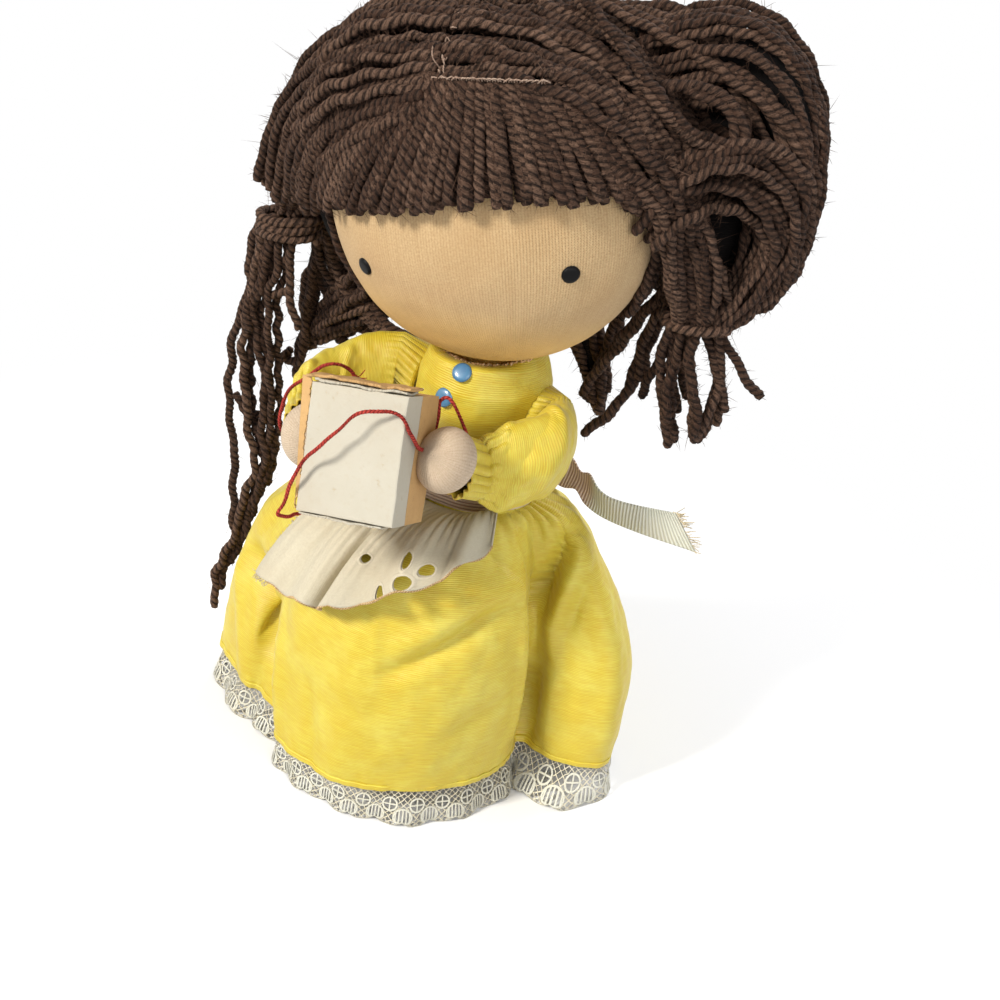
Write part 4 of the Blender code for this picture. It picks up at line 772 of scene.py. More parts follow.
def studio():
    """Soft light from the upper left, a weak one from the right and one behind, over a pale floor."""
    lamp("key", (-540, -930, 800), (0, 0, 90), 240, 18.6, (1.0, 0.97, 0.92))
    lamp("fill", (1000, -700, 500), (0, 0, 80), 800, 6.6, (0.97, 0.98, 1.0))
    lamp("rim", (300, 1000, 1000), (250, 650, 0), 900, 15.0)
    sky = bpy.data.worlds.new("studio")
    bpy.context.scene.world = sky
    sky.use_nodes = True
    g, nodes = Graph(sky.node_tree), sky.node_tree.nodes
    plain = nodes["Background"]
    plain.inputs["Color"].default_value = (0.95, 0.96, 1.0, 1.0)
    plain.inputs["Strength"].default_value = 0.42
    white = g.add("ShaderNodeBackground", {"Color": (1, 1, 1, 1), "Strength": 1.0})[0]
    path = g.add("ShaderNodeLightPath")
    seen = path["Is Glossy Ray"].fn("MAXIMUM", path["Is Transmission Ray"])
    seen = path["Is Camera Ray"].fn("MAXIMUM", seen, True)
    both = g.add("ShaderNodeMixShader", {0: seen, 1: Value(g, plain.outputs[0]), 2: white})[0]
    g.put(nodes["World Output"].inputs, "Surface", both)
    side = 6000.0
    corners = np.array([[-side, -side, -0.02], [side, -side, -0.02], [side, side, -0.02], [-side, side, -0.02]])
    floor = [np.array([[0, 1, 2, 3]])], [corners[:, :2]]
    piece("floor", corners, *floor, floor_finish(), None, smooth_faces=False)


# The stuffed body

TORSO_SHARES = np.array([
    [0, 0.74, 0.47, 0.62, 0], [0.04, 1.05, 0.66, 0.89, 0], [0.13, 1.2, 0.78, 1.03, 0], [0.26, 1.12, 0.78, 1, 0],
    [0.4, 0.98, 0.75, 0.94, 0], [0.52, 0.98, 0.82, 0.96, 0], [0.68, 1, 0.92, 1, 0], [0.85, 1, 1, 1, 0],
    [0.94, 0.94, 1.03, 0.92, 0.25], [0.985, 0.82, 0.92, 0.8, 0.75], [1, 0.6, 0.58, 0.62, 0.45]
])
TORSO_LOW, TORSO_HIGH = 47.8, 97.5
TORSO_WIDE, TORSO_FRONT, TORSO_BACK, NECK_RISE = 12.8, 16.0, 11.2, 2.7


def torso_point(row, turn, grow=0.0, lift=0.0):
    """The trunk: at each row an oval of its own width, front and back, turned through turn, with
    the neckline raised in front by the square of how far forward a point looks."""
    row, turn = np.broadcast_arrays(np.asarray(row, float), np.asarray(turn, float))
    share = np.stack([np.interp(row, np.arange(11), TORSO_SHARES[:, k]) for k in range(5)], axis=-1)
    forward = np.maximum(0.0, -np.sin(turn))
    depth = np.where(np.sin(turn) < 0, share[..., 2] * TORSO_FRONT, share[..., 3] * TORSO_BACK)
    height = TORSO_LOW + share[..., 0] * (TORSO_HIGH - TORSO_LOW) + share[..., 4] * NECK_RISE * forward**2 + lift
    return vec((share[..., 1] * TORSO_WIDE + grow) * np.cos(turn), (depth + grow) * np.sin(turn), height)


def trunk():
    """The stuffed trunk: the torso's ovals, a little lumpy where the fibre bunches."""
    points = torso_point(np.linspace(0, 10, 60)[:, None], full_turn(96)[None])
    middle = points.mean(axis=1, keepdims=True)
    points = points + unit(points - middle) * ripple(points, 16.0, 11)[..., None] * 0.12
    made = surface("trunk", points, FACE_KNIT, "torso", True, True)
    stands_for(made, "torso_cover", "torso_stuffing")


NECK_HALF, NECK_BALL, NECK_FOOT = 5.8, 6.8, 90.0


def neck():
    """The neck plug: a tube that swells into the ball the head sits on."""
    meet = math.asin(NECK_HALF / NECK_BALL)
    low = NECK_PIVOT[2] - NECK_BALL * math.cos(meet)
    down = pi - np.linspace(0, pi / 2 + meet, 24)[::-1][1:]
    height = np.concatenate([np.linspace(NECK_FOOT, low, 16), NECK_PIVOT[2] - NECK_BALL * np.cos(down)])
    half = np.concatenate([np.full(16, NECK_HALF), NECK_BALL * np.sin(down)])
    turn = full_turn(48)
    ring = vec(np.cos(turn), np.sin(turn), 0.0)
    points = vec(0.0, NECK_PIVOT[1], height)[:, None] + ring * np.maximum(half, 0.05)[:, None, None]
    made = surface("neck", points, FACE_KNIT, "neck", True, True)
    stands_for(made, "neck_plug")


# The head

HEAD_AT = np.array([-1.5, -7.0, 131.7])
HEAD_HALF = np.array([32.0, 24.5, 30.5])
HEAD_SET = turned(7.0, 0.0, -13.0)


def from_head(local):
    """Head millimetres to doll millimetres."""
    return HEAD_AT + np.asarray(local, float) @ HEAD_SET.T


def to_head(points):
    """Doll millimetres to head millimetres."""
    return (np.asarray(points, float) - HEAD_AT) @ HEAD_SET


def head_skin(azimuth, elevation, grow=0.0):
    """A place on the head, in head millimetres: azimuth from the face's middle to the doll's left,
    elevation up, both in degrees."""
    az, el = np.radians(azimuth), np.radians(elevation)
    half = HEAD_HALF + grow
    return vec(half[0] * np.cos(el) * np.sin(az), -half[1] * np.cos(el) * np.cos(az), half[2] * np.sin(el))


def head():
    """The stuffed head: an ellipsoid, wider than deep, with faint dents from its filling."""
    local = head_skin(np.linspace(-180, 180, 160, endpoint=False)[None], np.linspace(-89, 89, 110)[:, None])
    points = from_head(local) + unit(local) @ HEAD_SET.T * (ripple(local, 20.0, 3)[..., None] * 0.14 - 0.05)
    made = surface("head", points, FACE_KNIT, "head", True, True)
    stands_for(made, "head_cover", "head_stuffing")


EYE_HALF, EYE_RISE = 1.7, 0.62
EYE_TURN, EYE_LOW = 40.0, -14.0


def turned_disc(name, at, axis, size, profile, material, body):
    """A small turned disc: a profile of shares of its (half width, rise), spun about axis."""
    axis = unit(axis)
    side = unit(np.cross(axis, [0.2, 0.1, 1.0]))
    turn = full_turn(40)[:, None]
    ring = np.cos(turn) * side + np.sin(turn) * np.cross(axis, side)
    points = at + profile[:, 0, None, None] * size[0] * ring + profile[:, 1, None, None] * size[1] * axis
    return surface(name, points, material, body, True, True)


def round_profile(count, flat):
    """A low dome: width falls as a quarter turn, height rises to a flat share of the top."""
    t = np.linspace(0, pi / 2, count)
    return np.stack([np.cos(t) ** flat * 0.985 + 0.015, np.sin(t)], axis=1)


def eyes():
    """Two flat black beads, sewn on square to the cheeks."""
    for side, name in ((-1, "eye_right"), (1, "eye_left")):
        local = head_skin(side * EYE_TURN - (1.6 if side > 0 else 0.0), EYE_LOW)
        away = unit(local / HEAD_HALF**2) @ HEAD_SET.T
        profile = np.concatenate([[[0.9, -0.35], [1.0, 0.0], [1.0, 0.3]], round_profile(8, 0.45)[1:] * [0.97, 1.0]])
        made = turned_disc(name + "_bead", from_head(local), away, (EYE_HALF, EYE_RISE), profile, BLACK_BEAD, "head")
        stands_for(made, name)


# Hair on the head

CROWN_AT = np.array([-1.7, 0.0, 0.0])
RIGHT_TIE = np.array([-48.6, -0.5, 115.6])
LEFT_TIE = np.array([41.5, 1.0, 119.6])
HAIR_TOP = 7.0


def laid(name, node_name, routes, body, pieces, seed, **how):
    """Brown yarn in several pieces, so that none grows too large; the first stands for the CAD node."""
    for k in range(pieces):
        title = name if pieces == 1 else f"{name}_{k + 1}"
        made = strands(title, routes[k::pieces], HAIR, body, seed=seed + k, **how)
        fuzz(made, len(routes[k::pieces]) * 60, body, 90 + k)
        if k == 0:
            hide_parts(node_name)


def scalp():
    """An under-layer of near-black yarn below the strands, painted shade, so that no skin shows between them."""
    el = np.linspace(0, 1, 60)[:, None]
    az = np.linspace(0, 360, 120, endpoint=False)[None]
    el, az = np.broadcast_arrays(el, az)
    behind = np.cos(np.radians(az))
    low = np.interp(behind, [-1.0, 0.0, 0.22, 0.42, 1.0], [-40.0, -24.0, 14.0, 27.0, 31.0])
    low = low + (89 - low) * el
    grow = np.interp(behind, [-1.0, 0.1, 0.5, 1.0], [5.0, 4.6, 1.2, 1.0]) * smooth(el, -0.02, 0.12)
    local = head_skin(az, low)
    points = from_head(local + unit(local) * (grow[..., None] - 0.3))
    made = surface("scalp_yarn", points, PAINTED_SHADE_YARN, "head", True, True, scale=(180, 60))


def cap_routes(number, grow, seed, clump):
    """Rows of yarn from the seam over the crown to one bunch: each runs on the head along a great
    circle from its place on the seam to the bunch, and leaves the head just before it. Rows gather
    in clumps, with dark gaps between them."""
    rng = np.random.default_rng(seed)
    routes = []
    for k in range(number):
        share = (k + rng.uniform(-0.25, 0.25)) / (number - 1)
        share = np.clip(share + clump * math.sin(2 * pi * share * 11 + seed) / 50, 0, 1)
        for tie in (RIGHT_TIE, LEFT_TIE):
            lean = math.radians(45 + 172 * share + rng.uniform(-0.8, 0.8))
            half = HEAD_HALF + grow + rng.uniform(-0.5, 0.35)
            seam = np.array([CROWN_AT[0] / half[0], -math.cos(lean), math.sin(lean)])
            target = to_head(tie) + rng.normal(0, 1.5, 3)
            far = target / half
            t = np.linspace(0, 1, 20)[:, None]
            side = np.sign(far[0])
            way = seam * (1 - t) + far * t
            front = max(0.0, math.cos(lean))
            bow = np.array([-0.16, -0.30 * front, 0.06 + 0.08 * math.sin(lean)])
            if side > 0:
                bow = np.array([0.30 - 0.36 * front, -0.15 * front, 0.04 + 0.48 * front])
            way = unit(way + bow * np.sin(pi * t) * (1 + rng.uniform(-0.12, 0.12)))
            away = 1 + (np.linalg.norm(far) - 1) * smooth(t, 0.72, 1.0)
            droop = rng.uniform(-1.0, 1.0) * np.sin(pi * t * rng.uniform(1, 3.5) + rng.uniform(0, 3))
            if side < 0:
                away = away + 0.10 * bell(t, 0.26, 0.18) * (1 - 0.6 * front)
            local = way * half * away + np.array([0.0, 0.8, 1.0]) * droop * np.sin(pi * t)
            size = 1.0 - 0.34 * smooth(t, 0.75, 1.0)
            routes.append(np.column_stack([from_head(local), size]))
    return routes


def edge_routes():
    """Strands that hang behind both cheeks, from below the crown's rows down the sides of the head."""
    rng = np.random.default_rng(51)
    routes = []
    for side in (-1, 1):
        for k in range(15):
            az = side * (75.0 + 3.6 * k) + rng.uniform(-2, 2) + side * np.linspace(0, 8, 12)
            el = np.linspace(18, -34 - 9 * math.sin(k), 12)
            routes.append(from_head(head_skin(az, el, 0.8 + 0.14 * k + rng.uniform(-0.2, 0.4))))
    return routes


def cap_hair():
    """The yarn laid over the head in two layers, over its ground of painted shade."""
    scalp()
    strands("temple_yarn", edge_routes(), HAIR, "head", seed=52)
    laid("crown_under_yarn", "hair_cap", cap_routes(50, 5.2, 40, 0.5), "head", 3, 5)
    over = cap_routes(56, HAIR_TOP + 0.2, 43, 0.75)
    for k in range(4):
        made = strands(f"crown_over_yarn_{k + 1}", over[k::4], HAIR, "head", seed=60 + k, loose=0.35)
        fuzz(made, 2600, "head", 70 + k)


def fringe_routes(grow, number, seed):
    """Cut yarn from the front stitching down over the brow: each strand runs straight on the head
    from its stitch to its own end. The stitching reaches to the doll's left only, so that on its
    right the strands fan out from one place."""
    rng = np.random.default_rng(seed)
    routes = []
    for k in range(number):
        share = (k + 0.5 + rng.uniform(-0.3, 0.3)) / number
        share = share + 0.009 * math.sin(2 * pi * share * 13 + seed)
        start_az = np.interp(share, [0, 0.42, 0.85, 1.0], [-5.0, 0.0, 35.0, 47.0])
        start_el = np.interp(share, [0, 0.3, 0.85, 1.0], [46.9, 46.5, 43.8, 38.6])
        end_az = np.interp(share, [0, 0.12, 0.3, 0.5, 0.7, 1.0], [-84.0, -58.0, -28.0, 0.0, 28.0, 68.0])
        end_el = np.interp(share, [0, 0.15, 0.3, 0.5, 0.7, 0.9, 1.0], [4.0, 7.0, 8.7, 12.0, 13.0, 9.0, 2.0])
        end_el = end_el + rng.uniform(-2.4, 1.8)
        start = unit(head_skin(start_az, start_el) / HEAD_HALF)
        end = unit(head_skin(end_az + rng.uniform(-1, 1), end_el) / HEAD_HALF)
        t = np.linspace(0, 1, 14)[:, None]
        sag = np.array([0.0, 0.0, 0.10 * smooth(-end_az, 10, 70)])
        way = unit(start * (1 - t) + end * t + sag * np.sin(pi * t))
        lift = grow + rng.uniform(-0.4, 0.35) + 4.4 * (1 - t) ** 3 + 0.9 * np.sin(pi * t * 0.9)
        lift = lift + 6.0 * smooth(-end_az, 55, 90) * t + 0.5 * t
        routes.append(from_head(way * (HEAD_HALF + lift)))
    return routes


RIGHT_BRUSH = [
    [(-8, -30, 155), (-22, -28, 148), (-33, -21.5, 139), (-37.1, -16, 131), (-39.4, -14, 122.4)],
    [(-8, -29, 156), (-24, -26, 150), (-36, -19, 140), (-40.5, -15, 131), (-42.5, -13, 121.5)],
    [(-7, -28, 157), (-25, -24.5, 152), (-38, -17, 142.5), (-43.5, -13, 132), (-45.5, -12, 121)],
    [(-7, -27, 158), (-26, -23, 154), (-40, -15, 144), (-46.5, -11, 133), (-48.4, -11, 121.5)],
    [(-7, -26, 159), (-28, -20, 155), (-43, -11, 144), (-49.5, -9, 133), (-50.8, -10, 122.5)],
    [(-9, -29.5, 154), (-20, -28.5, 148), (-30, -24.5, 139), (-33.9, -19.5, 131), (-35.4, -16.5, 123.8)],
    [(-9, -29.8, 153), (-18, -29.5, 146.5), (-27, -26, 138), (-31.1, -21, 130), (-32, -18.5, 125.2)],
    [(-12, -22, 160), (-30, -17, 154), (-42, -9, 144), (-50.5, -5, 134), (-52.5, -6, 125)],
    [(-10, -31, 151), (-20, -31, 145), (-30, -25, 136), (-36, -17.5, 128), (-37.4, -15.5, 121.9)],
    [(-14, -24, 160), (-31, -19.5, 153), (-41, -13, 143), (-47.6, -9.5, 134), (-49.6, -9, 126.5)],
]


def fringe():
    """The fringe in two layers over the ground of painted shade, and the cut ends brushed to the right side."""
    rng = np.random.default_rng(17)
    routes = fringe_routes(1.0, 54, 21) + fringe_routes(2.7, 58, 22)
    for row in RIGHT_BRUSH:
        for k in range(3):
            shift = rng.normal(0, 0.55, 3) + np.array([0.0, 1.7, -0.8]) * (k - 0.6)
            routes.append(along(np.array(row, float) + shift + rng.normal(0, 0.35, (5, 3)), 24))
    laid("fringe_yarn", "bangs", routes, "head", 2, 6, step=0.42, loose=0.12)


def parting():
    """The light stitching that holds the fringe: slanted stitches along the parting with a frayed
    thread, and the seam that runs up from its right end over the crown."""
    rng = np.random.default_rng(8)
    routes = []
    for k in range(22):
        share = k / 21
        at = head_skin(-3.0 + 37.5 * share, 45.4 - 3.4 * share**1.5, 7.8 + 0.7 * share)
        out = unit(at / HEAD_HALF**2)
        run = unit(np.array([1.0, 0.35 * share, 0.0]))
        lean = np.array([0.0, -0.3, 0.45]) * rng.uniform(-0.8, 0.8)
        start, end = at - run * 0.7 - out * 0.4, at + run * 0.7 - out * 0.4
        rise, fall = at - run * 0.55 + out * 0.35 - lean, at + run * 0.55 + out * 0.35 + lean
        routes.append(from_head([start, rise, at + out * 0.55, fall, end]))
    for k in range(5):
        at = head_skin(-1.5 - 0.3 * k + rng.uniform(-0.6, 0.6), 47.0 + 5.5 * k, 7.6)
        out = unit(at / HEAD_HALF**2)
        reach = rng.uniform(0.3, 0.6)
        bend = rng.normal(0, 0.25, 3)
        routes.append(from_head(np.array([at - [reach, 0, 0], at + out * 0.4 + bend, at + [reach, 0, 0]])))
    for k in range(4):
        at = head_skin(-1.5 + rng.uniform(-1.0, 1.0), 46.0 + rng.uniform(0, 6), 7.8)
        out = unit(at / HEAD_HALF**2)
        swing = rng.normal(0, 0.7, (3, 3))
        away = [out * 0.5 + swing[0] * 0.5, out * 0.9 + swing[1], out * 0.8 + swing[1] + swing[2]]
        routes.append(from_head([at, *(at + step for step in away)]))
    made = strands("parting_thread", routes, SEAM_THREAD, "head", half=0.13, step=0.2, pitch=0.9, loose=0.05)
    stands_for(made, "parting_stitch")


RIGHT_SIDE = [
    (-22, -4, 157, 8), (-36, -5, 147, 9), (-43.5, -3, 131, 7.4), (-47.3, -0.4, 120.2, 5.2), (-48.6, 0, 114.5, 4)
]
LEFT_SIDE = [
    (18, 6, 160, 8), (33, 9, 164.5, 9.6), (43, 10, 158, 8.5), (48.5, 7, 147, 7), (49.5, 5, 135, 6),
    (46.3, 2.4, 125, 4.8), (42.5, 1, 119, 4)
]
LEFT_INNER = [
    (20, 10, 150, 8), (32, 11, 152, 9), (41, 11, 146, 9), (44, 9, 137, 8), (43.5, 6, 128, 6.5),
    (41.5, 2, 119.5, 4)
]
LEFT_UPPER = [(0, 8, 154, 8), (14, 8, 161, 9), (27, 10, 162, 9.5), (39, 10, 155, 9), (45, 8, 144, 6)]
LEFT_HOLLOW = [(33, 7, 152, 5), (35, 8, 142, 7), (37.5, 7, 132, 7), (39.5, 4, 122, 4)]
RIGHT_LOCK = [
    (-29, 9, 121, 5), (-31, 9, 112, 7.4), (-33, 9, 103, 8.4), (-38, 9, 95.5, 6.6), (-42.5, 8.5, 89.5, 4.6),
    (-46, 7.5, 84.5, 2.4)
]
LEFT_LOCK = [(33.5, -4, 142, 3.8), (36.4, -2.5, 131, 4.4), (37.8, -1.5, 123.5, 4.2), (38.4, 0, 117.9, 3.2)]
BACK_LOCK = [(6, 19, 114, 3.5), (11, 19.5, 103, 4.2), (17, 18.8, 91, 3.4), (19.5, 17.8, 84, 1.5)]
RIGHT_STRANDS = [
    [(-56.5, 0, 110.6), (-58.2, 0, 104.3), (-58.5, 0, 99.2), (-57.5, 0, 96.5), (-58.6, 0, 90.8),
     (-60.3, 0, 82.8), (-60.8, 0, 75.1), (-60.8, 0, 67.6), (-59.4, 0, 59.9), (-57.9, 0, 53.4), (-57.8, 0, 45.2),
     (-56.9, 0, 37.3), (-55.8, 0, 32.8)],
    [(-54.8, 0, 110.5), (-55.6, 0, 100.1), (-56.6, 0, 94.9), (-57.3, 0, 87.4), (-57.3, 0, 80.2),
     (-55.7, 0, 67.6), (-53.8, 0, 59.6), (-51.6, 0, 53.1), (-53.2, 0, 46.4), (-54.9, 0, 39.5), (-55.5, 0, 32.9),
     (-58, 0, 25.1), (-60, 0, 20.5), (-59.6, 0, 10.6)],
    [(-53.6, 0, 110.8), (-54.2, 0, 101.9), (-54.4, 0, 95.6), (-55.5, 0, 89.9), (-54.1, 0, 83), (-52.3, 0, 76.3),
     (-51.3, 0, 71.2), (-51.1, 0, 62.9), (-49.9, 0, 57), (-50.4, 0, 50.2), (-52.4, 0, 41.9), (-53.7, 0, 35.5),
     (-55.6, 0, 30.4), (-57.6, 0, 24.8), (-59.2, 0, 15.4)],
    [(-50.2, 0, 110.8), (-50.5, 0, 104.4), (-50.7, 0, 98.9), (-51.9, 0, 95), (-51.6, 0, 89.3), (-51.2, 0, 82.2),
     (-50, 0, 73.6), (-49.4, 0, 67.6), (-49.4, 0, 59.3), (-49.3, 0, 54.9), (-50.5, 0, 48.2), (-52.4, 0, 42)],
    [(-48.1, 0, 110.5), (-48.3, 0, 105), (-48.3, 0, 99.6), (-47.5, 0, 96.4), (-46.1, 0, 92.5),
     (-44.7, 0, 88.7)],
    [(-59.5, 0, 68.3), (-56.6, 0, 64.8), (-51.5, 0, 64), (-49.8, 0, 63.8), (-48.8, 0, 60.5)],
    [(-53.9, 0, 109.4), (-53.9, 0, 101.5), (-54.9, 0, 95.7), (-57, 0, 90.4), (-56.1, 0, 85)],
    [(-54.3, 0, 94.5), (-52.8, 0, 94.1), (-50.1, 0, 95.4), (-48.1, 0, 97.4)],
]
LEFT_TAIL = [
    (40.5, 1, 119.1, 4.4), (40.5, 1, 115.8, 4.4), (41.6, 1, 108, 5.6), (42.3, 1, 100, 5.8), (43, 1, 95.5, 4.6),
    (43.4, 1, 92.3, 2.2)
]

# Loose strands on the doll's left: arches from the temple back to the bunch, loops off the crown
LEFT_ARCHES = [
    [(30.7, -12, 137.3), (33.4, -12, 142.4), (37.6, -9, 146.3), (43.5, -5, 147.4), (49.3, -1, 142.8),
     (52.2, 2, 135.3), (50.3, 3, 128.1), (45, 3, 123.6), (40.7, 1, 120)],
    [(30.3, -12, 141.5), (33.7, -12, 147.4), (39.1, -9, 151.8), (45.7, -4, 152.4), (52.3, 1, 146.2),
     (54.1, 4, 136), (52.5, 5, 126.6), (46.4, 4, 122.1), (40.9, 1, 118.9)],
    [(30.4, -12, 135), (33.3, -12, 139.2), (37.2, -8, 142.5), (42.2, -3, 142.5), (46.9, 1, 137.8),
     (48.6, 3, 131.9), (46.5, 4, 126.6), (42.7, 3, 122.5), (40, 1, 119.4)],
]
LEFT_LOOPS = [
    [(6.2, -6, 171.5), (13.2, -10, 169.4), (21, -13, 164.9), (26.8, -13, 159.5), (33.5, -11, 154.8),
     (40.6, -6, 153), (47.5, -1, 152.8), (52.2, 3, 146), (50, 4, 132), (41, 1, 119)],
    [(6, 2, 171.5), (17.6, 1, 169.2), (28.7, 0, 166.2), (37.6, 0, 163), (46.8, 2, 158.1), (53.4, 4, 148.5),
     (53.4, 5, 136.8), (48.4, 4, 127), (41, 1, 120.6)],
    [(22.3, -6, 155.3), (26.4, -8, 161), (33.2, -6, 161.1), (39.5, -4, 157.4), (40.4, -6, 152.7),
     (35.1, -10, 151.5), (30.4, -12, 147.7)],
]
LEFT_FRONT = [
    [(22.5, -21.5, 147), (30.3, -16.5, 143.8), (34.2, -13, 137.8), (36, -9, 127.6), (37.8, -4, 118.6)],
    [(30.5, -13, 148), (34.9, -11.5, 142), (38.3, -9, 134), (40.5, -6, 126.2), (40.8, -3, 118.4)],
    [(31.9, -11, 135.2), (37.9, -9, 138), (42, -5, 129.2), (41.8, -2, 119.4)],
]
LEFT_WEDGE = [
    [(35.5, 5, 126), (33.2, 7, 119.5), (30.6, 8, 113), (29, 8, 106), (29.6, 8, 99)],
    [(33.5, 6, 127.5), (31.8, 7.5, 121.5), (29.8, 8, 116.2), (27.8, 8, 106.4), (27.5, 8, 98.1), (26, 7.5, 92.7),
     (22.9, 7.5, 88.1), (19.9, 7.5, 84.2)],
    [(31.5, 7, 124), (29.5, 8, 119), (27.3, 8, 114.7), (22.1, 12, 104.2), (17.9, 15, 95.3), (15.4, 15, 88.6)],
    [(26, 12, 124), (22, 14, 116), (20, 16, 106), (18, 17, 96), (16.5, 17, 87)],
]
LEFT_ENDS = [
    [(36.8, -1, 119.1), (34.8, -1, 115.1), (34.7, 0, 106.2), (37.1, 1, 97.9), (39.3, 2, 90)],
    [(37.8, 0, 119.1), (36, 0, 114), (36.7, 1, 105.2), (38.6, 1, 97.9), (40.3, 2, 91.6)],
    [(39.7, 0, 119), (38.7, 0, 116), (40.3, 1, 107.7), (42.5, 1, 100.9), (43.4, 2, 94.6)],
    [(40.8, 1, 119.5), (41.3, 1, 116.5), (44.6, 2, 109.9), (47.3, 2, 104.4), (48.7, 2, 101.2)],
    [(41.6, 2, 121.3), (42.6, 2, 118.3), (46.7, 2, 113.8), (50.8, 2, 109.3), (54.9, 2, 106.4)],
    [(41, 2, 120), (41.6, 2, 116), (44.6, 3, 109.8), (47, 3, 103.3), (47.4, 3, 97.4)],
    [(38, 1, 118.5), (35.8, 1, 112.2), (33, 3, 105.4), (31.5, 4, 100.1), (31, 5, 97.2)],
]
RIGHT_CURLS = [
    [(-45.5, 5, 112.3), (-43.1, 5, 103.4), (-37.5, 5, 97.5), (-29.6, 5, 94.1), (-20.9, 4, 92.7),
     (-13.8, 3, 93)],
    [(-47, 7, 109.3), (-45.5, 7, 99), (-40.6, 7, 92.9), (-33.9, 8, 90.6), (-26.5, 8, 90.7)],
    [(-46.3, 8, 107.3), (-47.6, 8, 94.5), (-43.9, 8, 88.4), (-37.8, 8, 85.6)],
    [(-45.4, 8, 105.9), (-49.6, 8, 97.1), (-48.7, 8, 88.1), (-46.4, 8, 81.4)],
    [(-43, 4, 113), (-40, 4, 104.2), (-33.2, 4, 98.4), (-24.3, 3, 94.6), (-15.8, 3, 93.8)],
    [(-46.1, 5, 104.8), (-47.5, 5, 93.2), (-47.4, 5, 84.9), (-47.5, 5, 79.8), (-49.9, 5, 78), (-51.8, 5, 79),
     (-51.2, 5, 80.7)],
    [(-45.8, 6, 102.5), (-47.3, 6, 88.8), (-48.7, 6, 80.5), (-48.4, 6, 74.6)],
    [(-42.5, 4, 109), (-38, 4, 100.5), (-30, 4, 95), (-21, 3, 93)],
]


def fuzz(made, number, body, seed):
    """Stray fibres on yarn: from random places of a strand piece's surface, thin bent spikes that
    leave it at a slant. Each is two three-sided rings and a tip."""
    rng = np.random.default_rng(seed)
    mesh = made.data
    places, normals = np.empty(len(mesh.vertices) * 3), np.empty(len(mesh.vertices) * 3)
    mesh.vertices.foreach_get("co", places)
    mesh.vertices.foreach_get("normal", normals)
    chosen = rng.integers(0, len(mesh.vertices), number)
    root = places.reshape(-1, 3)[chosen] / MM - DOLL
    out = normals.reshape(-1, 3)[chosen]
    way = unit(out * rng.uniform(0.25, 0.9, (number, 1)) + unit(rng.normal(size=(number, 3))))
    way = unit(way + out * np.maximum(0.0, 0.15 - (way * out).sum(axis=1))[:, None])
    reach = rng.uniform(0.6, 2.2, (number, 1)) * (1 + 2.2 * (rng.uniform(0, 1, (number, 1)) > 0.96))
    bend = unit(rng.normal(size=(number, 3))) * reach * 0.3
    side = unit(np.cross(way, [0.31, 0.17, 0.93]))
    up = np.cross(way, side)
    turn = full_turn(3)
    ring = np.cos(turn)[None, :, None] * side[:, None] + np.sin(turn)[None, :, None] * up[:, None]
    low, middle = root - out * 0.1, root + way * reach * 0.5 + bend * 0.5
    tip = (root + way * reach + bend)[:, None]
    points = np.concatenate([low[:, None] + ring * 0.05, middle[:, None] + ring * 0.042, tip], axis=1)
    corner = np.arange(3)
    after = (corner + 1) % 3
    quads = np.stack([corner, after, after + 3, corner + 3], axis=1)
    tips = np.stack([corner + 3, after + 3, np.full(3, 6)], axis=1)
    shift = (np.arange(number) * 7)[:, None, None]
    faces = [(quads[None] + shift).reshape(-1, 4), (tips[None] + shift).reshape(-1, 3)]
    coords = [np.tile([[seed * 1.0, 0.0]], (f.size, 1)) for f in faces]
    tone = np.repeat(rng.uniform(0, 1, number), 7)
    piece(made.name + "_fuzz", points.reshape(-1, 3), faces, coords, HAIR, body, tone)


def core(name, route, share, body):
    """The shaded inside of a bunch: a smooth tube along its route at a share of its width."""
    line, turn = along(route, 40), full_turn(20)[:, None]
    side, up = carried_sides(line[None, :, :3])
    half = line[:, 3] * share * np.sin(np.linspace(0.25, pi - 0.2, 40)) ** 0.4
    ring = np.cos(turn) * side[0][:, None] + np.sin(turn) * up[0][:, None]
    surface(name, line[:, None, :3] + ring * half[:, None, None], PAINTED_SHADE_YARN, body, True, True)


def mass(name, node_name, route, count, body, seed, core_share=0.62, extra=(), pieces=1, **how):
    """A bunch of strands round a core in painted shade, in place of one CAD solid."""
    laid(name, node_name, [*bundle(route, count, seed, **how), *extra], body, pieces, seed + 50, loose=0.2)
    if core_share:
        core(name + "_core", route, core_share, body)


def set_back(rows):
    """Routes of the loose lock by the right cheek, moved up to 6 mm away from the sleeve along the
    photograph's line of sight where they hang below the head, so that the head has room to turn."""
    made = [np.array(row, float) for row in rows]
    for row in made:
        row[:, :3] += smooth(114 - row[:, 2], 0, 10)[:, None] * 6 * np.array([-0.296, 0.814, -0.5])
    return made


def fanned(rows, copies, spread, seed):
    """Several near copies of each route, each moved by its own small steps."""
    rng = np.random.default_rng(seed)
    made = []
    for row in rows:
        row = np.array(row, float)
        swing = rng.normal(0, 1, 3)
        for k in range(copies):
            fade = np.linspace(1.0, 0.6, len(row))[:, None]
            shift = (unit(swing) * (k - (copies - 1) / 2) * 2.1 + rng.normal(0, 0.3, 3)) * fade
            made.append(along(row + shift * spread + rng.normal(0, 0.25, row.shape), 40))
    return made


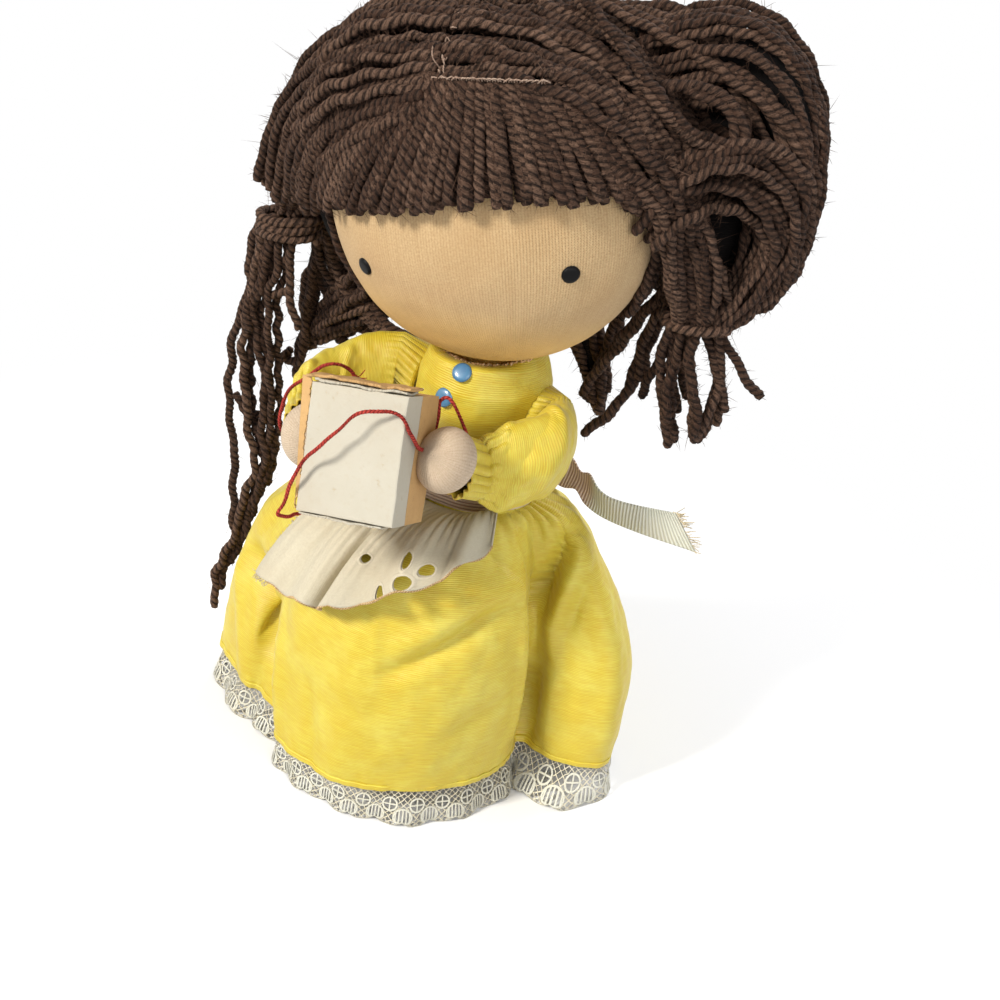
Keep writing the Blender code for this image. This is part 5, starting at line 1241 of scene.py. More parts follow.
def side_hair():
    """The bunches at both sides of the head, the cheek locks and the lock behind a shoulder."""
    how = {"fill": (1.0, 0.6), "twist": 0.7, "thin": 0.75}
    mass("right_side_yarn", "right_side_hair", RIGHT_SIDE, 24, "head", 31, pieces=2, **how)
    extra = fanned(LEFT_ARCHES, 4, 1.0, 5) + fanned(LEFT_LOOPS, 2, 1.0, 6)
    extra += bundle(LEFT_INNER, 20, 39, twist=-0.6, thin=0.7)
    extra += bundle(LEFT_UPPER, 13, 44, fill=(0.95,), twist=0.8, wander=0.5)
    how = {"fill": (1.0, 0.55), "twist": -0.8, "thin": 0.7}
    mass("left_side_yarn", "left_side_hair", LEFT_SIDE, 26, "head", 32, extra=extra, pieces=3, **how)
    for part, route, share in (("inner", LEFT_INNER, 0.72), ("upper", LEFT_UPPER, 0.62), ("hollow", LEFT_HOLLOW, 1.0)):
        core(f"left_{part}_core", route, share, "head")
    cheek, front = set_back([RIGHT_LOCK])[0], fanned(LEFT_FRONT, 3, 1.0, 9)
    curls, wedge = fanned(set_back(RIGHT_CURLS), 2, 0.75, 8), fanned(LEFT_WEDGE, 2, 1.0, 10)
    how = {"fill": (1.0, 0.6), "twist": 1.6, "trim": 0.15}
    mass("right_cheek_yarn", "right_cheek_lock", cheek, 19, "head", 33, 0.6, curls, **how)
    mass("left_cheek_yarn", "left_cheek_lock", LEFT_LOCK, 11, "head", 34, 0.8, front, twist=0.5, trim=0.05)
    how = {"twist": 0.8, "trim": 0.2, "wander": 0.4}
    mass("left_back_yarn", "left_back_lock", BACK_LOCK, 9, "head", 35, 0.5, wedge, **how)


def tails():
    """The two tied bunches that swing: long thin strands on the right, a short bunch on the left."""
    rng = np.random.default_rng(36)
    routes = []
    for row, copies in zip(RIGHT_STRANDS, (1, 2, 2, 2, 1, 1, 1, 1)):
        for k in range(copies):
            shift = np.array([0.7, 1.4, 0.0]) * (k - (copies - 1) / 2) * 1.3
            depth = np.array([0.0, rng.uniform(-2.5, 2.5), 0.0]) * np.linspace(0, 1, len(row))[:, None]
            line = np.array(row, float) + shift + depth + rng.normal(0, 0.2, (len(row), 3))
            routes.append(along(line, 70)[: 70 - k * 6])
            if row[0][2] > 106:
                routes[-1][0] = [-50.0 + rng.uniform(-3.5, 3.5), rng.uniform(-2, 2), 112.5]
    laid("right_tail_yarn", "right_pigtail", routes, "right_pigtail", 1, 86, loose=0.3)
    ends = [along(row, 40) for row in LEFT_ENDS]
    mass("left_tail_yarn", "left_pigtail", LEFT_TAIL, 6, "left_pigtail", 37, 0, ends, twist=0.6, trim=0.3, wander=0.5)


def hair_ties():
    """Yarn wound round the top of each bunch, a slanted coil about the bunch's own oval."""
    for name, at, reach, deep, rise, turns, body in (
        ("right_hair_tie", (-49.6, 0, 111.4), 6.6, 4.6, 1.7, 3.2, "right_pigtail"),
        ("left_hair_tie", (39.6, -0.2, 118.2), 6.0, 4.6, 1.2, 1.6, "left_pigtail"),
    ):
        turn = np.linspace(0, turns * 2 * pi, 110)
        climb = (turn / turn[-1] - 0.5) * rise * turns
        coil = at + vec(reach * np.cos(turn), deep * np.sin(turn), climb + 0.6 * np.sin(turn + 1))
        made = strands(name + "_wrap", [coil], HAIR, None, seed=9)
        stands_for(made, name)
        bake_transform(made)


# The dress


def dress_point(row, turn, grow=0.0, lift=0.0):
    """A place on the dress over the trunk. Towards the neckline it rises by up to 3.2 mm, as far as
    the underside of the head leaves 1.7 mm."""
    points = torso_point(row, turn, grow, lift)
    rises = np.linspace(0, 3.2, 17)
    raised = points[..., None, :] + rises[:, None] * UP
    free = np.linalg.norm(to_head(raised) / (HEAD_HALF + 1.7), axis=-1) > 1
    most = (rises * np.cumprod(free, axis=-1)).max(axis=-1)
    points[..., 2] += most * smooth(np.asarray(row) + 0 * np.asarray(turn), 7.6, 9.5)
    return points


def bodice():
    """The satin bodice: the trunk's ovals a layer out, with soft folds towards the armholes."""
    row = np.concatenate([np.linspace(4, 9, 60), [9.2, 9.4, 9.55]])[:, None]
    turn = full_turn(160)[None]
    lift = np.interp(row, [9, 9.55], [0.0, 0.4])
    points = dress_point(row, turn, 0.45 + 0 * row, lift)
    out = vec(np.cos(turn), np.sin(turn), 0 * row)
    fold = 0.24 * ripple(points * [1.0, 1.0, 0.35], 9.0, 14) + 0.2
    gather = 0.16 * np.sin(turn * 34 + 2 * np.sin(3 * turn)) * (1 - smooth(row, 4.0, 5.6))
    points = points + out * np.maximum(0.0, fold + gather)[..., None]
    made = wall(surface("bodice_satin", points, YELLOW_SATIN, "torso", True), 0.5)
    stands_for(made, "bodice")


def collar():
    """The braid round the neckline: three thread strands that weave round each other, each a sine
    sideways and a half-speed sine in and out."""
    turn = np.linspace(0, 2 * pi, 240)
    ring = dress_point(9.55 + 0 * turn, turn, 0.6, 0.5)
    out = vec(np.cos(turn), np.sin(turn), 0.0)
    routes = []
    for phase in (turn * 22 + k * 2 * pi / 3 for k in range(3)):
        routes.append(ring + out * (0.34 * np.sin(2 * phase))[:, None] + vec(0.0, 0.0, 0.52 * np.sin(phase)))
    made = strands("collar_braid", routes, TRIM_THREAD, "torso", half=0.36, step=0.3, pitch=1.3)
    stands_for(made, "collar_trim")


def buttons():
    """Two domed pearl buttons on the bodice."""
    for name, row, side in (("button_lower", 7.80, -0.13), ("button_upper", 8.75, 0.06)):
        turn = -pi / 2 + side
        at = dress_point(row, turn, 1.05)
        step_up = dress_point(row + 0.3, turn, 1.05) - dress_point(row - 0.3, turn, 1.05)
        step_side = dress_point(row, turn + 0.1, 1.05) - dress_point(row, turn - 0.1, 1.05)
        away = unit(unit(np.cross(step_side, step_up)) + [0, 0, 0.35])
        dome = round_profile(10, 0.7)[1:] * [0.93, 0.62] + [0, 0.38]
        profile = np.concatenate([[[0.82, -0.1], [0.97, 0.02], [1.0, 0.2], [0.97, 0.38]], dome])
        made = turned_disc(name + "_pearl", at + away * 0.15, away, (1.95, 0.75), profile, BLUE_PEARL, "torso")
        stands_for(made, name)


# Arms, sleeves and hands

SHOULDER = np.array([13.1, -2.0, 87.5])
ARM_WIDE, ARM_TALL, SLEEVE_WIDE, SLEEVE_TALL = 3.4, 5.8, 4.6, 9.2
HAND_WIDE, HAND_TALL = 5.6, 6.4
ELBOW_DROP, ELBOW_REACH = 4.8, {-1: 13.2, 1: 7.1}
BOX_AT = np.array([-5.5, -40.0, 90.3])
BOX_SET = turned(2.0, -21.7, -8.6)
BOX_WIDE, BOX_TALL, BOX_DEEP, CARD = 19.0, 23.8, 15.4, 0.7
LEFT_ROWS = np.array([
    [0.092, 0.72, 0.08, -35, 1, 0.94], [0.197, 0.95, 0.28, -70, 0.98, 0.98], [0.325, 1, 0.46, -95, 0.96, 1],
    [0.459, 0.72, 0.7, -118, 0.96, 0.98], [0.577, 0.34, 0.94, -125, 0.94, 0.88], [0.682, 0.08, 1, -117, 0.82, 0]
])
RIGHT_ROWS = np.array([
    [0.035, 0.4, -0.1, 195, 1.12, 1], [0.117, 0.71, -0.12, 210, 1.16, 0.96], [0.25, 0.94, 0.1, 228, 1.18, 0.92],
    [0.424, 1, 0.42, 250, 1.16, 0.9], [0.585, 0.91, 0.62, 272, 1.08, 0.86], [0.72, 0.64, 0.68, 290, 0.84, 0]
])


def from_box(local):
    """Box millimetres to doll millimetres."""
    return BOX_AT + np.asarray(local, float) @ BOX_SET.T


def hand_centre(side):
    """The middle of a hand, pressed on the box's side wall."""
    press, deep = (1.6, 0.26) if side > 0 else (1.0, 0.34)
    return from_box([side * (BOX_WIDE / 2 + 0.3 + HAND_WIDE - press), deep * BOX_DEEP, 0.03 * BOX_TALL])


def arm_rings(side, rows, row, turn, wide, tall, size):
    """Upright ovals along a bent arm: the middle goes from shoulder to hand, pushed out and down at
    the elbow, and each oval looks along its own yaw."""
    way, out, drop, yaw = (spline(rows, row)[..., k] for k in range(4))
    shoulder, yaw = SHOULDER * [side, 1, 1], np.radians(yaw)
    centre = shoulder + (hand_centre(side) - shoulder) * way[..., None]
    centre = centre + vec(side * out * ELBOW_REACH[side], 0.0, -drop * ELBOW_DROP)
    across = vec(-np.sin(yaw), np.cos(yaw), 0.0)[:, None] * (wide * size)[:, None, None]
    upright = UP * (tall * size)[:, None, None]
    return centre[:, None] + across * np.cos(turn)[:, None] + upright * np.sin(turn)[:, None]


def crown_ring(side, turn, half, x):
    """The round of the shoulder, in a plane that looks sideways."""
    return vec(side * x, SHOULDER[1] + side * half * np.cos(turn), SHOULDER[2] + half * np.sin(turn))


def matched(start, ring):
    """Rings, all turned the other way round if that brings the last one nearer to the next ring."""
    near, far = (np.linalg.norm(ring - last, axis=1).sum() for last in (start[-1], start[-1, ::-1]))
    return start if near <= far else start[:, ::-1]


def arm(side, rows, name, body):
    """One stuffed arm with its hand: knit ovals along the bend, then a ball for the hand."""
    turn = full_turn(56)
    row = np.linspace(0, 5, 44)
    size = spline(rows, row)[:, 4]
    rings = arm_rings(side, rows, row, turn, ARM_WIDE, ARM_TALL, size)
    start = matched(crown_ring(side, turn, 5.6, 12.0)[None], rings[0])
    hand = hand_centre(side)
    last = rings[-1]
    away = unit(hand - last.mean(axis=0))
    t = np.linspace(0.42, pi - 0.02, 26)
    side_v = unit(np.cross(away, [0, 0, 1.0]))
    up = np.cross(side_v, away)
    ring = last - last.mean(axis=0)
    a, b = ring @ side_v, ring @ up
    flat = np.arctan2(b / np.abs(b).max(), a / np.abs(a).max())
    ball = (
        hand
        - away * (HAND_WIDE * np.cos(t))[:, None, None]
        + side_v * (HAND_WIDE * np.sin(t))[:, None, None] * np.cos(flat)[None, :, None]
        + up * (HAND_TALL * np.sin(t))[:, None, None] * np.sin(flat)[None, :, None]
    )
    points = np.concatenate([start, rings, ball])
    made = surface(name + "_arm", points, HAND_KNIT, body, True, True)
    stands_for(made, name + "_arm_cover", name + "_arm_stuffing")


def sleeve(side, rows, name, body):
    """One satin sleeve: ovals round the arm, gathered at the shoulder seam, slack and folded at the
    elbow, drawn in by the elastic and flared past it into a small frill."""
    turn = full_turn(144)
    row = np.linspace(0, 4.62, 84)
    size = spline(rows, row)[:, 5]
    size = np.where(row > 4, np.interp(row, [4, 4.62], [rows[4, 5], 0.70]), size)
    rings = arm_rings(side, rows, row, turn, SLEEVE_WIDE, SLEEVE_TALL, np.maximum(size, 0.3))
    start = np.stack([crown_ring(side, turn, half, x) for half, x in ((7.0, 12.6), (7.6, 13.3))])
    start = matched(start, rings[0])
    flare_row = np.array([4.74, 4.86, 5.0])
    arm_size = spline(rows, flare_row)[:, 4]
    grow = np.array([0.5, 0.65, 0.9]) / arm_size
    frill = list(arm_rings(side, rows, flare_row, turn, ARM_WIDE + grow, ARM_TALL + grow, arm_size))
    away, last = unit(hand_centre(side) - frill[0].mean(axis=0)), frill[-1]
    centre = last.mean(axis=0)
    gap = np.linalg.norm(hand_centre(side) - centre) - 4.4
    for share, grow in ((0.35, 0.1), (0.7, 0.25), (1.0, 0.9)):
        frill.append(last + away * gap * share + unit(last - centre) * grow)
    points = np.concatenate([start, rings, frill])
    way = np.concatenate([[-0.4, -0.2], row, flare_row, [5.1, 5.2, 5.3]])[:, None]
    out = unit(points - points.mean(axis=1, keepdims=True))
    elbow = smooth(way, 0.4, 1.6) * (1 - smooth(way, 3.9, 4.6))
    bend = np.sin(turn * 3 + way * 2.6 + 0.9 * np.sin(way * 3 + side))
    fold = (0.55 * bend * np.abs(bend) + 0.5 * ripple(points * [1, 1, 0.6], 13.0, 60 + side)) * elbow
    near_cuff = smooth(way, 2.6, 4.6)
    pleat = np.sin(turn * 15 + 1.3 * np.sin(turn * 3 + side) + 0.5 * way)
    pucker = 0.46 * pleat * near_cuff + 0.22 * np.sin(turn * 30 + np.sin(turn * 2)) * (1 - smooth(way, -0.2, 0.9))
    points = points + out * np.maximum(fold + pucker, -0.42)[..., None]
    made = wall(surface(name + "_sleeve_satin", points, YELLOW_SATIN, body, True), 0.35)
    stands_for(made, name + "_sleeve")
    at = np.array([4.68])
    band = arm_rings(side, rows, at, turn, ARM_WIDE + 0.45, ARM_TALL + 0.45, spline(rows, at)[:, 4])[0]
    band = [np.concatenate([band[::4], band[:1]])]
    made = strands(name + "_elastic_thread", band, YELLOW_THREAD, body, half=0.28, step=0.3, pitch=1.0)
    stands_for(made, name + "_cuff_elastic")


def arms():
    """Both arms with their sleeves."""
    for side, rows, name in ((-1, RIGHT_ROWS, "right"), (1, LEFT_ROWS, "left")):
        arm(side, rows, name, name + "_arm")
        sleeve(side, rows, name, name + "_arm")


# Skirt, lace and legs

SKIRT_TOP, HEM_Z, HEM_WIDE, HEM_DEEP = 67.5, 9.0, 50.0, 36.0
LACE_DEEP = HEM_Z + 1.2
HEM_SHARES = np.array([
    (-1.04, -0.28, 186, 0.4), (-0.92, -0.42, 198, 0.6), (-0.78, -0.57, 208, 0.5), (-0.68, -0.57, 218, 0.6),
    (-0.56, -0.75, 228, 0.3), (-0.4, -0.93, 240, 0.1), (-0.22, -1, 252, 0.1), (-0.06, -1.01, 264, 0.1),
    (0.1, -0.94, 276, 0.3), (0.24, -0.82, 288, 0.4), (0.36, -0.63, 302, 0.4), (0.44, -0.4, 318, 0.5),
    (0.45, -0.2, 334, 0.6), (0.44, -0.07, 344, 0.5), (0.54, -0.07, 352, 1.5), (0.7, -0.06, 360, 1.5),
    (0.83, 0.03, 368, 0.6), (0.82, 0.25, 378, 0.4), (0.73, 0.47, 390, 0.4), (0.61, 0.58, 402, 0.4),
    (0.5, 0.57, 412, 0.4), (0.4, 0.75, 422, 0.4), (0.22, 0.8, 432, 0.4), (0.08, 0.71, 442, 0.4),
    (-0.08, 0.78, 452, 0.4), (-0.26, 0.83, 462, 0.4), (-0.4, 0.71, 474, 0.4), (-0.56, 0.75, 486, 0.4),
    (-0.76, 0.69, 498, 0.4), (-0.88, 0.47, 510, 0.4), (-1.02, 0.28, 522, 0.4), (-1.07, 0, 534, 0.4)
])
SKIRT_SHARES = np.array([
    (0, 0.03, 0.09, 0.2, 0.36, 0.56, 0.78, 1), (0, 0.22, 0.5, 0.81, 0.96, 1.02, 1.02, 1),
    (0, 0.26, 0.44, 0.63, 0.82, 0.89, 0.97, 1), (0, 0.3, 0.42, 0.58, 0.79, 0.95, 1.01, 1),
    (0, 0.25, 0.45, 0.64, 0.83, 0.92, 0.98, 1)
])


def hem_line(columns):
    """The hem seen from above: x, y, the turn of the waist above it, and how far its lace flares."""
    at = np.linspace(0, len(HEM_SHARES), columns, endpoint=False)
    even = HEM_SHARES.copy()
    even[:, 2] -= 360.0 * np.arange(len(even)) / len(even)
    line = spline(even, at, closed=True)
    line[:, 2] += 360.0 * at / len(even)
    return line[:, 0] * HEM_WIDE, line[:, 1] * HEM_DEEP, np.radians(line[:, 2]), line[:, 3]


def skirt_points(rows, columns):
    """The skirt: from the waist's oval to the hem's wavy line, each column goes outwards by a share
    that rises with depth and blends front, sides and back by the way it looks."""
    x, y, turn, flare = hem_line(columns)
    v = np.concatenate([np.linspace(0, 6.66, rows - 26, endpoint=False), np.linspace(6.66, 7, 26)])
    drop, front, right, left, back = (spline(SKIRT_SHARES[k], v) for k in range(5))
    ways = np.where(np.sin(turn) < 0, front[:, None], back[:, None])
    sides = np.where(np.cos(turn) < 0, right[:, None], left[:, None])
    share = ways * np.sin(turn) ** 2 + sides * np.cos(turn) ** 2
    waist = torso_point(4.0 + 0 * turn, turn, 0.4)
    flat = waist + (vec(x, y, 0.0) - waist) * share[..., None]
    flat[..., 2] = SKIRT_TOP - drop[:, None] * (SKIRT_TOP - HEM_Z)
    return flat, turn, v, flare


# Folds of the skirt: depth (valleys are negative), half width, and the line of each on the cloth
SKIRT_FOLDS = (
    (-6.2, 1.9, [(24.2, 0.8, 64.2), (23.4, -2.5, 58), (21, -3.2, 49.7), (21.2, -6.2, 45.5), (22.4, -7, 38.1),
     (22.3, -3.5, 23.6), (23.6, -2.8, 12.5)]),
    (1.7, 1.1, [(19.3, -12.4, 55), (20.5, -12.4, 51.9), (21.6, -12.9, 44.1), (22.2, -11.6, 32.1),
     (22.6, -11, 17.9)]),
    (-2.1, 1.7, [(20.4, -13.9, 52.2), (16.7, -20.6, 51.6), (13.2, -26.5, 48.2), (9.2, -31, 44.5),
     (4.9, -34.1, 40.7), (2.2, -35.5, 39.3)]),
    (1.5, 2.2, [(19.5, -13.1, 56.3), (15.9, -19.9, 56.1), (12.4, -25.9, 53.5), (8.6, -30.7, 49.6),
     (4.3, -33.8, 46.1)]),
    (-1.1, 0.6, [(12.3, -15.2, 63.3), (16, -14.3, 60.5), (19.3, -11.3, 56)]),
    (2, 1.3, [(23.5, 4.1, 66), (25.6, 0.9, 62.7), (26.4, -1.7, 58.1), (25.3, -3, 48.9), (25, -3.2, 41.2),
     (27, -2.9, 35.1)]),
    (-1.3, 1.2, [(30.4, 2.8, 58.2), (29.9, -1.5, 52.3), (28.2, -2.8, 41.8)]),
    (1.3, 1.6, [(27.6, -2.9, 35.3), (27.6, -3.2, 26.4), (27.9, -3, 14.1)]),
    (-6.6, 2.6, [(-43.6, -14.3, 38.7), (-36.8, -19.9, 32.5), (-32.6, -22.4, 22.8), (-29.4, -25.4, 16.9),
     (-27.4, -27.1, 10.3)]),
    (2, 1.4, [(-28.1, -26.6, 42.9), (-26.2, -29.4, 36.1), (-24.4, -31.3, 26.8), (-23.4, -32, 14.6),
     (-23.2, -32, 9.6)]),
    (1.3, 1.6, [(-49.3, -9.8, 36.7), (-45.1, -14.3, 26.8), (-41.8, -18, 17.9), (-39.8, -20, 10.9)]),
    (-0.5, 1.2, [(-3.6, -36.8, 44.3), (-0.9, -36.7, 40.5)]),
    (-0.7, 0.8, [(-5.2, -38, 33.6), (-3.3, -37.9, 30.6), (-1.3, -37.4, 27.2)]),
    (0.4, 0.7, [(-2.2, -34.7, 51.7), (-0.8, -36.1, 44.7), (0.6, -36.6, 35.4)]),
    (-1, 1.8, [(22.3, -16.9, 30.6), (19.3, -22.7, 27.9), (16.1, -27, 24.6)]),
    (-0.9, 1.3, [(-15.5, -36, 30), (-13, -36.5, 20), (-12, -37, 12)]),
    (-2.2, 2, [(8, 22, 60), (9, 27, 40), (10, 29, 12)]),
    (1.6, 2.4, [(1, 20, 58), (0, 26, 36), (0, 28, 12)]),
    (-2.2, 2, [(-11, 21, 60), (-13, 28, 38), (-14, 30, 12)]),
    (-1.8, 1.8, [(-30, 16, 50), (-38, 22, 28), (-41, 24, 12)]),
    (-1.8, 1.8, [(22, 14, 52), (27, 20, 32), (30, 22, 12)]),
)


def creased(points, folds):
    """How far each point is pushed by folds: the sum over folds of depth times the strongest bell
    exp(-(distance / half width)²) along the fold, fading to nothing at both of its ends."""
    total = np.zeros(points.shape[:-1])
    for depth, half, line in folds:
        pushed = np.zeros(points.shape[:-1])
        for place, strong in zip(along(line, 26), np.sin(pi * np.linspace(0.06, 0.94, 26)) ** 0.45):
            pushed = np.maximum(pushed, strong * np.exp(-(((points - place) ** 2).sum(axis=-1)) / half**2 * 0.5))
        total += depth * pushed
    return total


def outward_of(points):
    """Directions square to a closed grid, pointing away from its middle axis."""
    down = np.gradient(points, axis=0)
    across = np.roll(points, -1, axis=1) - np.roll(points, 1, axis=1)
    away = unit(np.cross(across, down))
    return away * np.sign(((points - points.mean(axis=1, keepdims=True)) * away).sum(axis=-1).mean())


def skirt():
    """The gathered satin skirt with its turned and stitched hem."""
    points, turn, v, _ = skirt_points(134, 360)
    away = outward_of(points)
    deep = v[:, None]
    pleats = np.sin(turn * 37 + 2.1 * np.sin(turn * 5)) * (1 - smooth(deep, 0.2, 3.4))
    folds = 0.42 * ripple(points * [1.0, 1.0, 0.45], 17.0, 71, 4) * smooth(deep, 0.5, 2.5)
    seam = bell(deep, 6.85, 0.016) * (0.3 + 0.14 * np.sin(turn * 190))
    hem = 0.22 * smooth(deep, 6.85, 6.88) - seam + 0.1 * np.sin(turn * 67) * smooth(deep, 6.6, 6.8)
    rise = 0.32 * pleats + folds + hem
    points = points + away * (np.maximum(rise + 0.2, -0.1) + creased(points, SKIRT_FOLDS))[..., None]
    made = wall(surface("skirt_satin", points, YELLOW_SATIN, "torso", True), 0.35)
    stands_for(made, "skirt")


def lace():
    """Lace sewn inside the hem: it drops and flares to the floor, waved, with a scalloped edge of
    thread loops. Its pattern keeps its size along the sewn edge."""
    _, _, _, flare = hem_line(900)
    points = skirt_points(150, 900)[0]
    hem = points[-1] + outward_of(points)[-1] * creased(points[-1:], SKIRT_FOLDS)[0][:, None]
    ahead = np.roll(hem, -1, axis=0) - np.roll(hem, 1, axis=0)
    out = unit(vec(-ahead[:, 1], ahead[:, 0], 0.0))
    out = out * np.sign((out * hem).sum(axis=-1).mean())
    run = run_of(steps(hem))
    around = run[-1] + np.linalg.norm(hem[0] - hem[-1])
    number = round(around / LACE_STEP)
    sewn = np.append(run, around) / around * number * LACE_STEP
    rows = np.linspace(0, 1, 26)[:, None]
    wave = 0.6 * np.sin(run / around * 2 * pi * number * 0.5 + np.sin(run / 21)) * rows
    reach = -0.8 + flare * 4.5 * smooth(rows, 0.1, 1.0) + wave
    grid = hem + out * reach[..., None]
    scallop = np.abs(np.sin(run / around * pi * number + pi / 2)) ** 0.6
    grid[..., 2] = LACE_DEEP * (1 - rows) + 1.3 * (1.0 - scallop) * rows**4
    made = wall(surface("hem_lace_net", grid, HEM_LACE, "torso", True, scale=(sewn, LACE_DEEP)), 0.22)
    stands_for(made, "hem_lace")


LEG_SHARES = np.array([
    (0, 0.7, 1.1, 0.55), (0.06, 0.86, 1.3, 0.62), (0.15, 0.88, 1.24, 0.56), (0.24, 0.82, 0.98, 0.3),
    (0.34, 0.78, 0.8, 0.06), (0.6, 0.88, 0.88, 0), (0.85, 0.97, 0.97, 0), (1, 1, 1, 0)
])
HIP = np.array([7.8, 0.0, 41.2])
LEG_HALF = 6.3


def legs():
    """Two stuffed legs with flat soles, hidden by the skirt."""
    turn = full_turn(56)
    ring = vec(np.cos(turn), np.sin(turn), 0.0)
    up, wide, deep, ahead = spline(LEG_SHARES, np.linspace(0, 7, 50)).T
    dome = np.radians(np.linspace(6, 84, 12))[:, None, None]
    for side, name in ((-1, "right_leg"), (1, "left_leg")):
        middle = vec(side * HIP[0], -ahead * LEG_HALF, up * HIP[2])
        points = middle[:, None] + ring * vec(wide, deep, 0.0)[:, None] * LEG_HALF
        cap = HIP * [side, 1, 1] + (ring * np.cos(dome) + UP * np.sin(dome)) * LEG_HALF
        made = surface(name + "_knit", np.concatenate([points, cap]), HAND_KNIT, name, True, True)
        stands_for(made, name + "_cover", name + "_stuffing")


# Apron and ribbon

APRON_TOP, APRON_REACH, APRON_DROP, APRON_CROWN = 69.0, 25.0, 20.0, 5.0
APRON_SHARES = np.array([
    (222, -0.82, -0.85, -1.02), (238, -0.52, -0.98, -0.9), (254, -0.36, -1, -0.82), (270, -0.28, -1, -0.68),
    (286, -0.02, -0.94, -0.36), (302, 0.14, -0.78, -0.12), (316, 0.2, -0.52, 0.06)
])


def apron():
    """The eyelet apron as one sheet: from the waist to a low scalloped edge, bulging on the way, with
    ruffles that grow towards the edge."""
    share = spline(APRON_SHARES, np.linspace(0, 6, 160))
    turn = np.radians(share[:, 0])
    top = torso_point(5.0 + 0 * turn, turn, 2.5)
    top[:, 2] = APRON_TOP
    fall = share[:, 1:4] * [APRON_REACH, APRON_REACH, APRON_DROP]
    u, v = np.linspace(0, 1, 160)[:, None], np.linspace(0, 1, 60)[:, None, None]
    swell = np.sin(pi * v)
    ruffle = 0.9 * np.sin(10 * pi * u) * v + 0.35 * np.sin(46 * pi * u + 1.0) * (1 - v) * swell
    points = top + fall * v + UP * APRON_CROWN * swell + [0.0, -1.0, 1.0] * ruffle
    points = points - np.array([2.6, 0.6, 0.0]) * (1 - u) ** 3 * np.maximum(swell, 0.0) ** 0.8
    points = points + unit(fall) * 0.55 * np.abs(np.sin(9 * pi * u)) * smooth(v, 0.9, 1.0)
    folds = (0.10, 0.035, 1.2), (0.335, 0.022, -2.6), (0.39, 0.04, 1.6), (0.80, 0.03, -1.5), (0.87, 0.03, 1.0)
    for at, half, deep in folds:
        fold = bell(u, at + 0.05 * (1 - v), half) * smooth(v, 0.15, 0.9)
        points = points + np.array([0.0, -0.75, 0.65]) * deep * fold
    made = wall(surface("apron_cotton", points, APRON_COTTON, "torso"), 0.3)
    cord = points[-1, 14:] - np.array([0, 0.1, 0])
    strands("apron_cord", [cord], TRIM_THREAD, "torso", half=0.3, step=0.3, pitch=1.2, loose=0.1)
    rng = np.random.default_rng(6)
    edge = np.concatenate([points[20:, 0], points[-1, :16]])
    away = np.concatenate([points[20:, 0] - points[20:, 3], points[-1, :16] - points[-4, :16]])
    frays = []
    for _ in range(110):
        pick = int(rng.uniform(0, len(edge)))
        ahead = unit(unit(away[pick]) + rng.normal(0, 0.45, 3)) * rng.uniform(0.5, 1.6)
        middle = ahead * 0.5 + rng.normal(0, 0.15, 3)
        frays.append(edge[pick] + np.array([-ahead * 0.3, middle, ahead]))
    strands("apron_fray", frays, CREAM_THREAD, "torso", half=0.08, step=0.3, pitch=1.0, loose=0.03)
    stands_for(made, "apron")


BAND_LOW, BAND_HIGH = 69.3, 73.3
RIGHT_STREAMER = [
    (0, 0, 0, 0.1), (0.11, 0.06, -0.02, 0.2), (0.18, 0.13, -0.12, 0.1), (0.23, 0.19, -0.26, 0),
    (0.27, 0.25, -0.41, 0)
]
LEFT_STREAMER = [
    (0, 0, 0, 0.1), (0.18, 0, -0.01, 0.3), (0.42, -0.08, -0.03, 0.2), (0.62, -0.15, -0.08, -0.25),
    (1.04, -0.13, -0.07, 0.1)
]
STREAMER_WIDE, STREAMER_REACH = 7.0, 40.0
KNOT_HALF = np.array([3.6, 1.8, 3.4])


def ribbon():
    """The ribbon: a band round the waist, a knot behind and two tails."""
    turn = full_turn(160)
    ring = torso_point(5.0 + 0 * turn, turn, 1.55)
    height = np.linspace(BAND_LOW, BAND_HIGH, 14)[:, None] + 0.15 * np.sin(turn * 7)
    points = vec(ring[:, 0], ring[:, 1], height)
    band = wall(surface("ribbon_band_cloth", points, GROSGRAIN, "torso", True), 0.45)
    stands_for(band, "ribbon_band")
    back = torso_point(5.0, pi / 2, 1.8)[1] + 0.3
    centre = np.array([0.0, back + KNOT_HALF[1], (BAND_LOW + BAND_HIGH) / 2])
    knot(centre)
    for name, side, shares in (("left", 1, LEFT_STREAMER), ("right", -1, RIGHT_STREAMER)):
        streamer(name, centre + [side * (KNOT_HALF[0] + 0.3), 0, 0], side, np.array(shares, float))


def knot(centre):
    """The knot behind: the ribbon wrapped over itself, a squared oval with pulled folds."""
    az, el = np.meshgrid(full_turn(72), np.linspace(-pi / 2 + 0.02, pi / 2 - 0.02, 44))
    ways = ((np.cos(el), 0.6), (np.cos(az), 0.6), (np.sin(az), 0.6), (np.sin(el), 0.8))
    wide, x, y, z = (np.sign(way) * np.abs(way) ** power for way, power in ways)
    local = vec(wide * x, wide * y, z)
    folds = 1 - 0.10 * np.abs(np.sin(5 * az + 1.2 * el)) * np.cos(el) + 0.03 * np.sin(9 * el)
    points = centre + local * KNOT_HALF * folds[..., None]
    made = surface("ribbon_knot_cloth", points, GROSGRAIN, "torso", True, True)
    stands_for(made, "ribbon_knot")


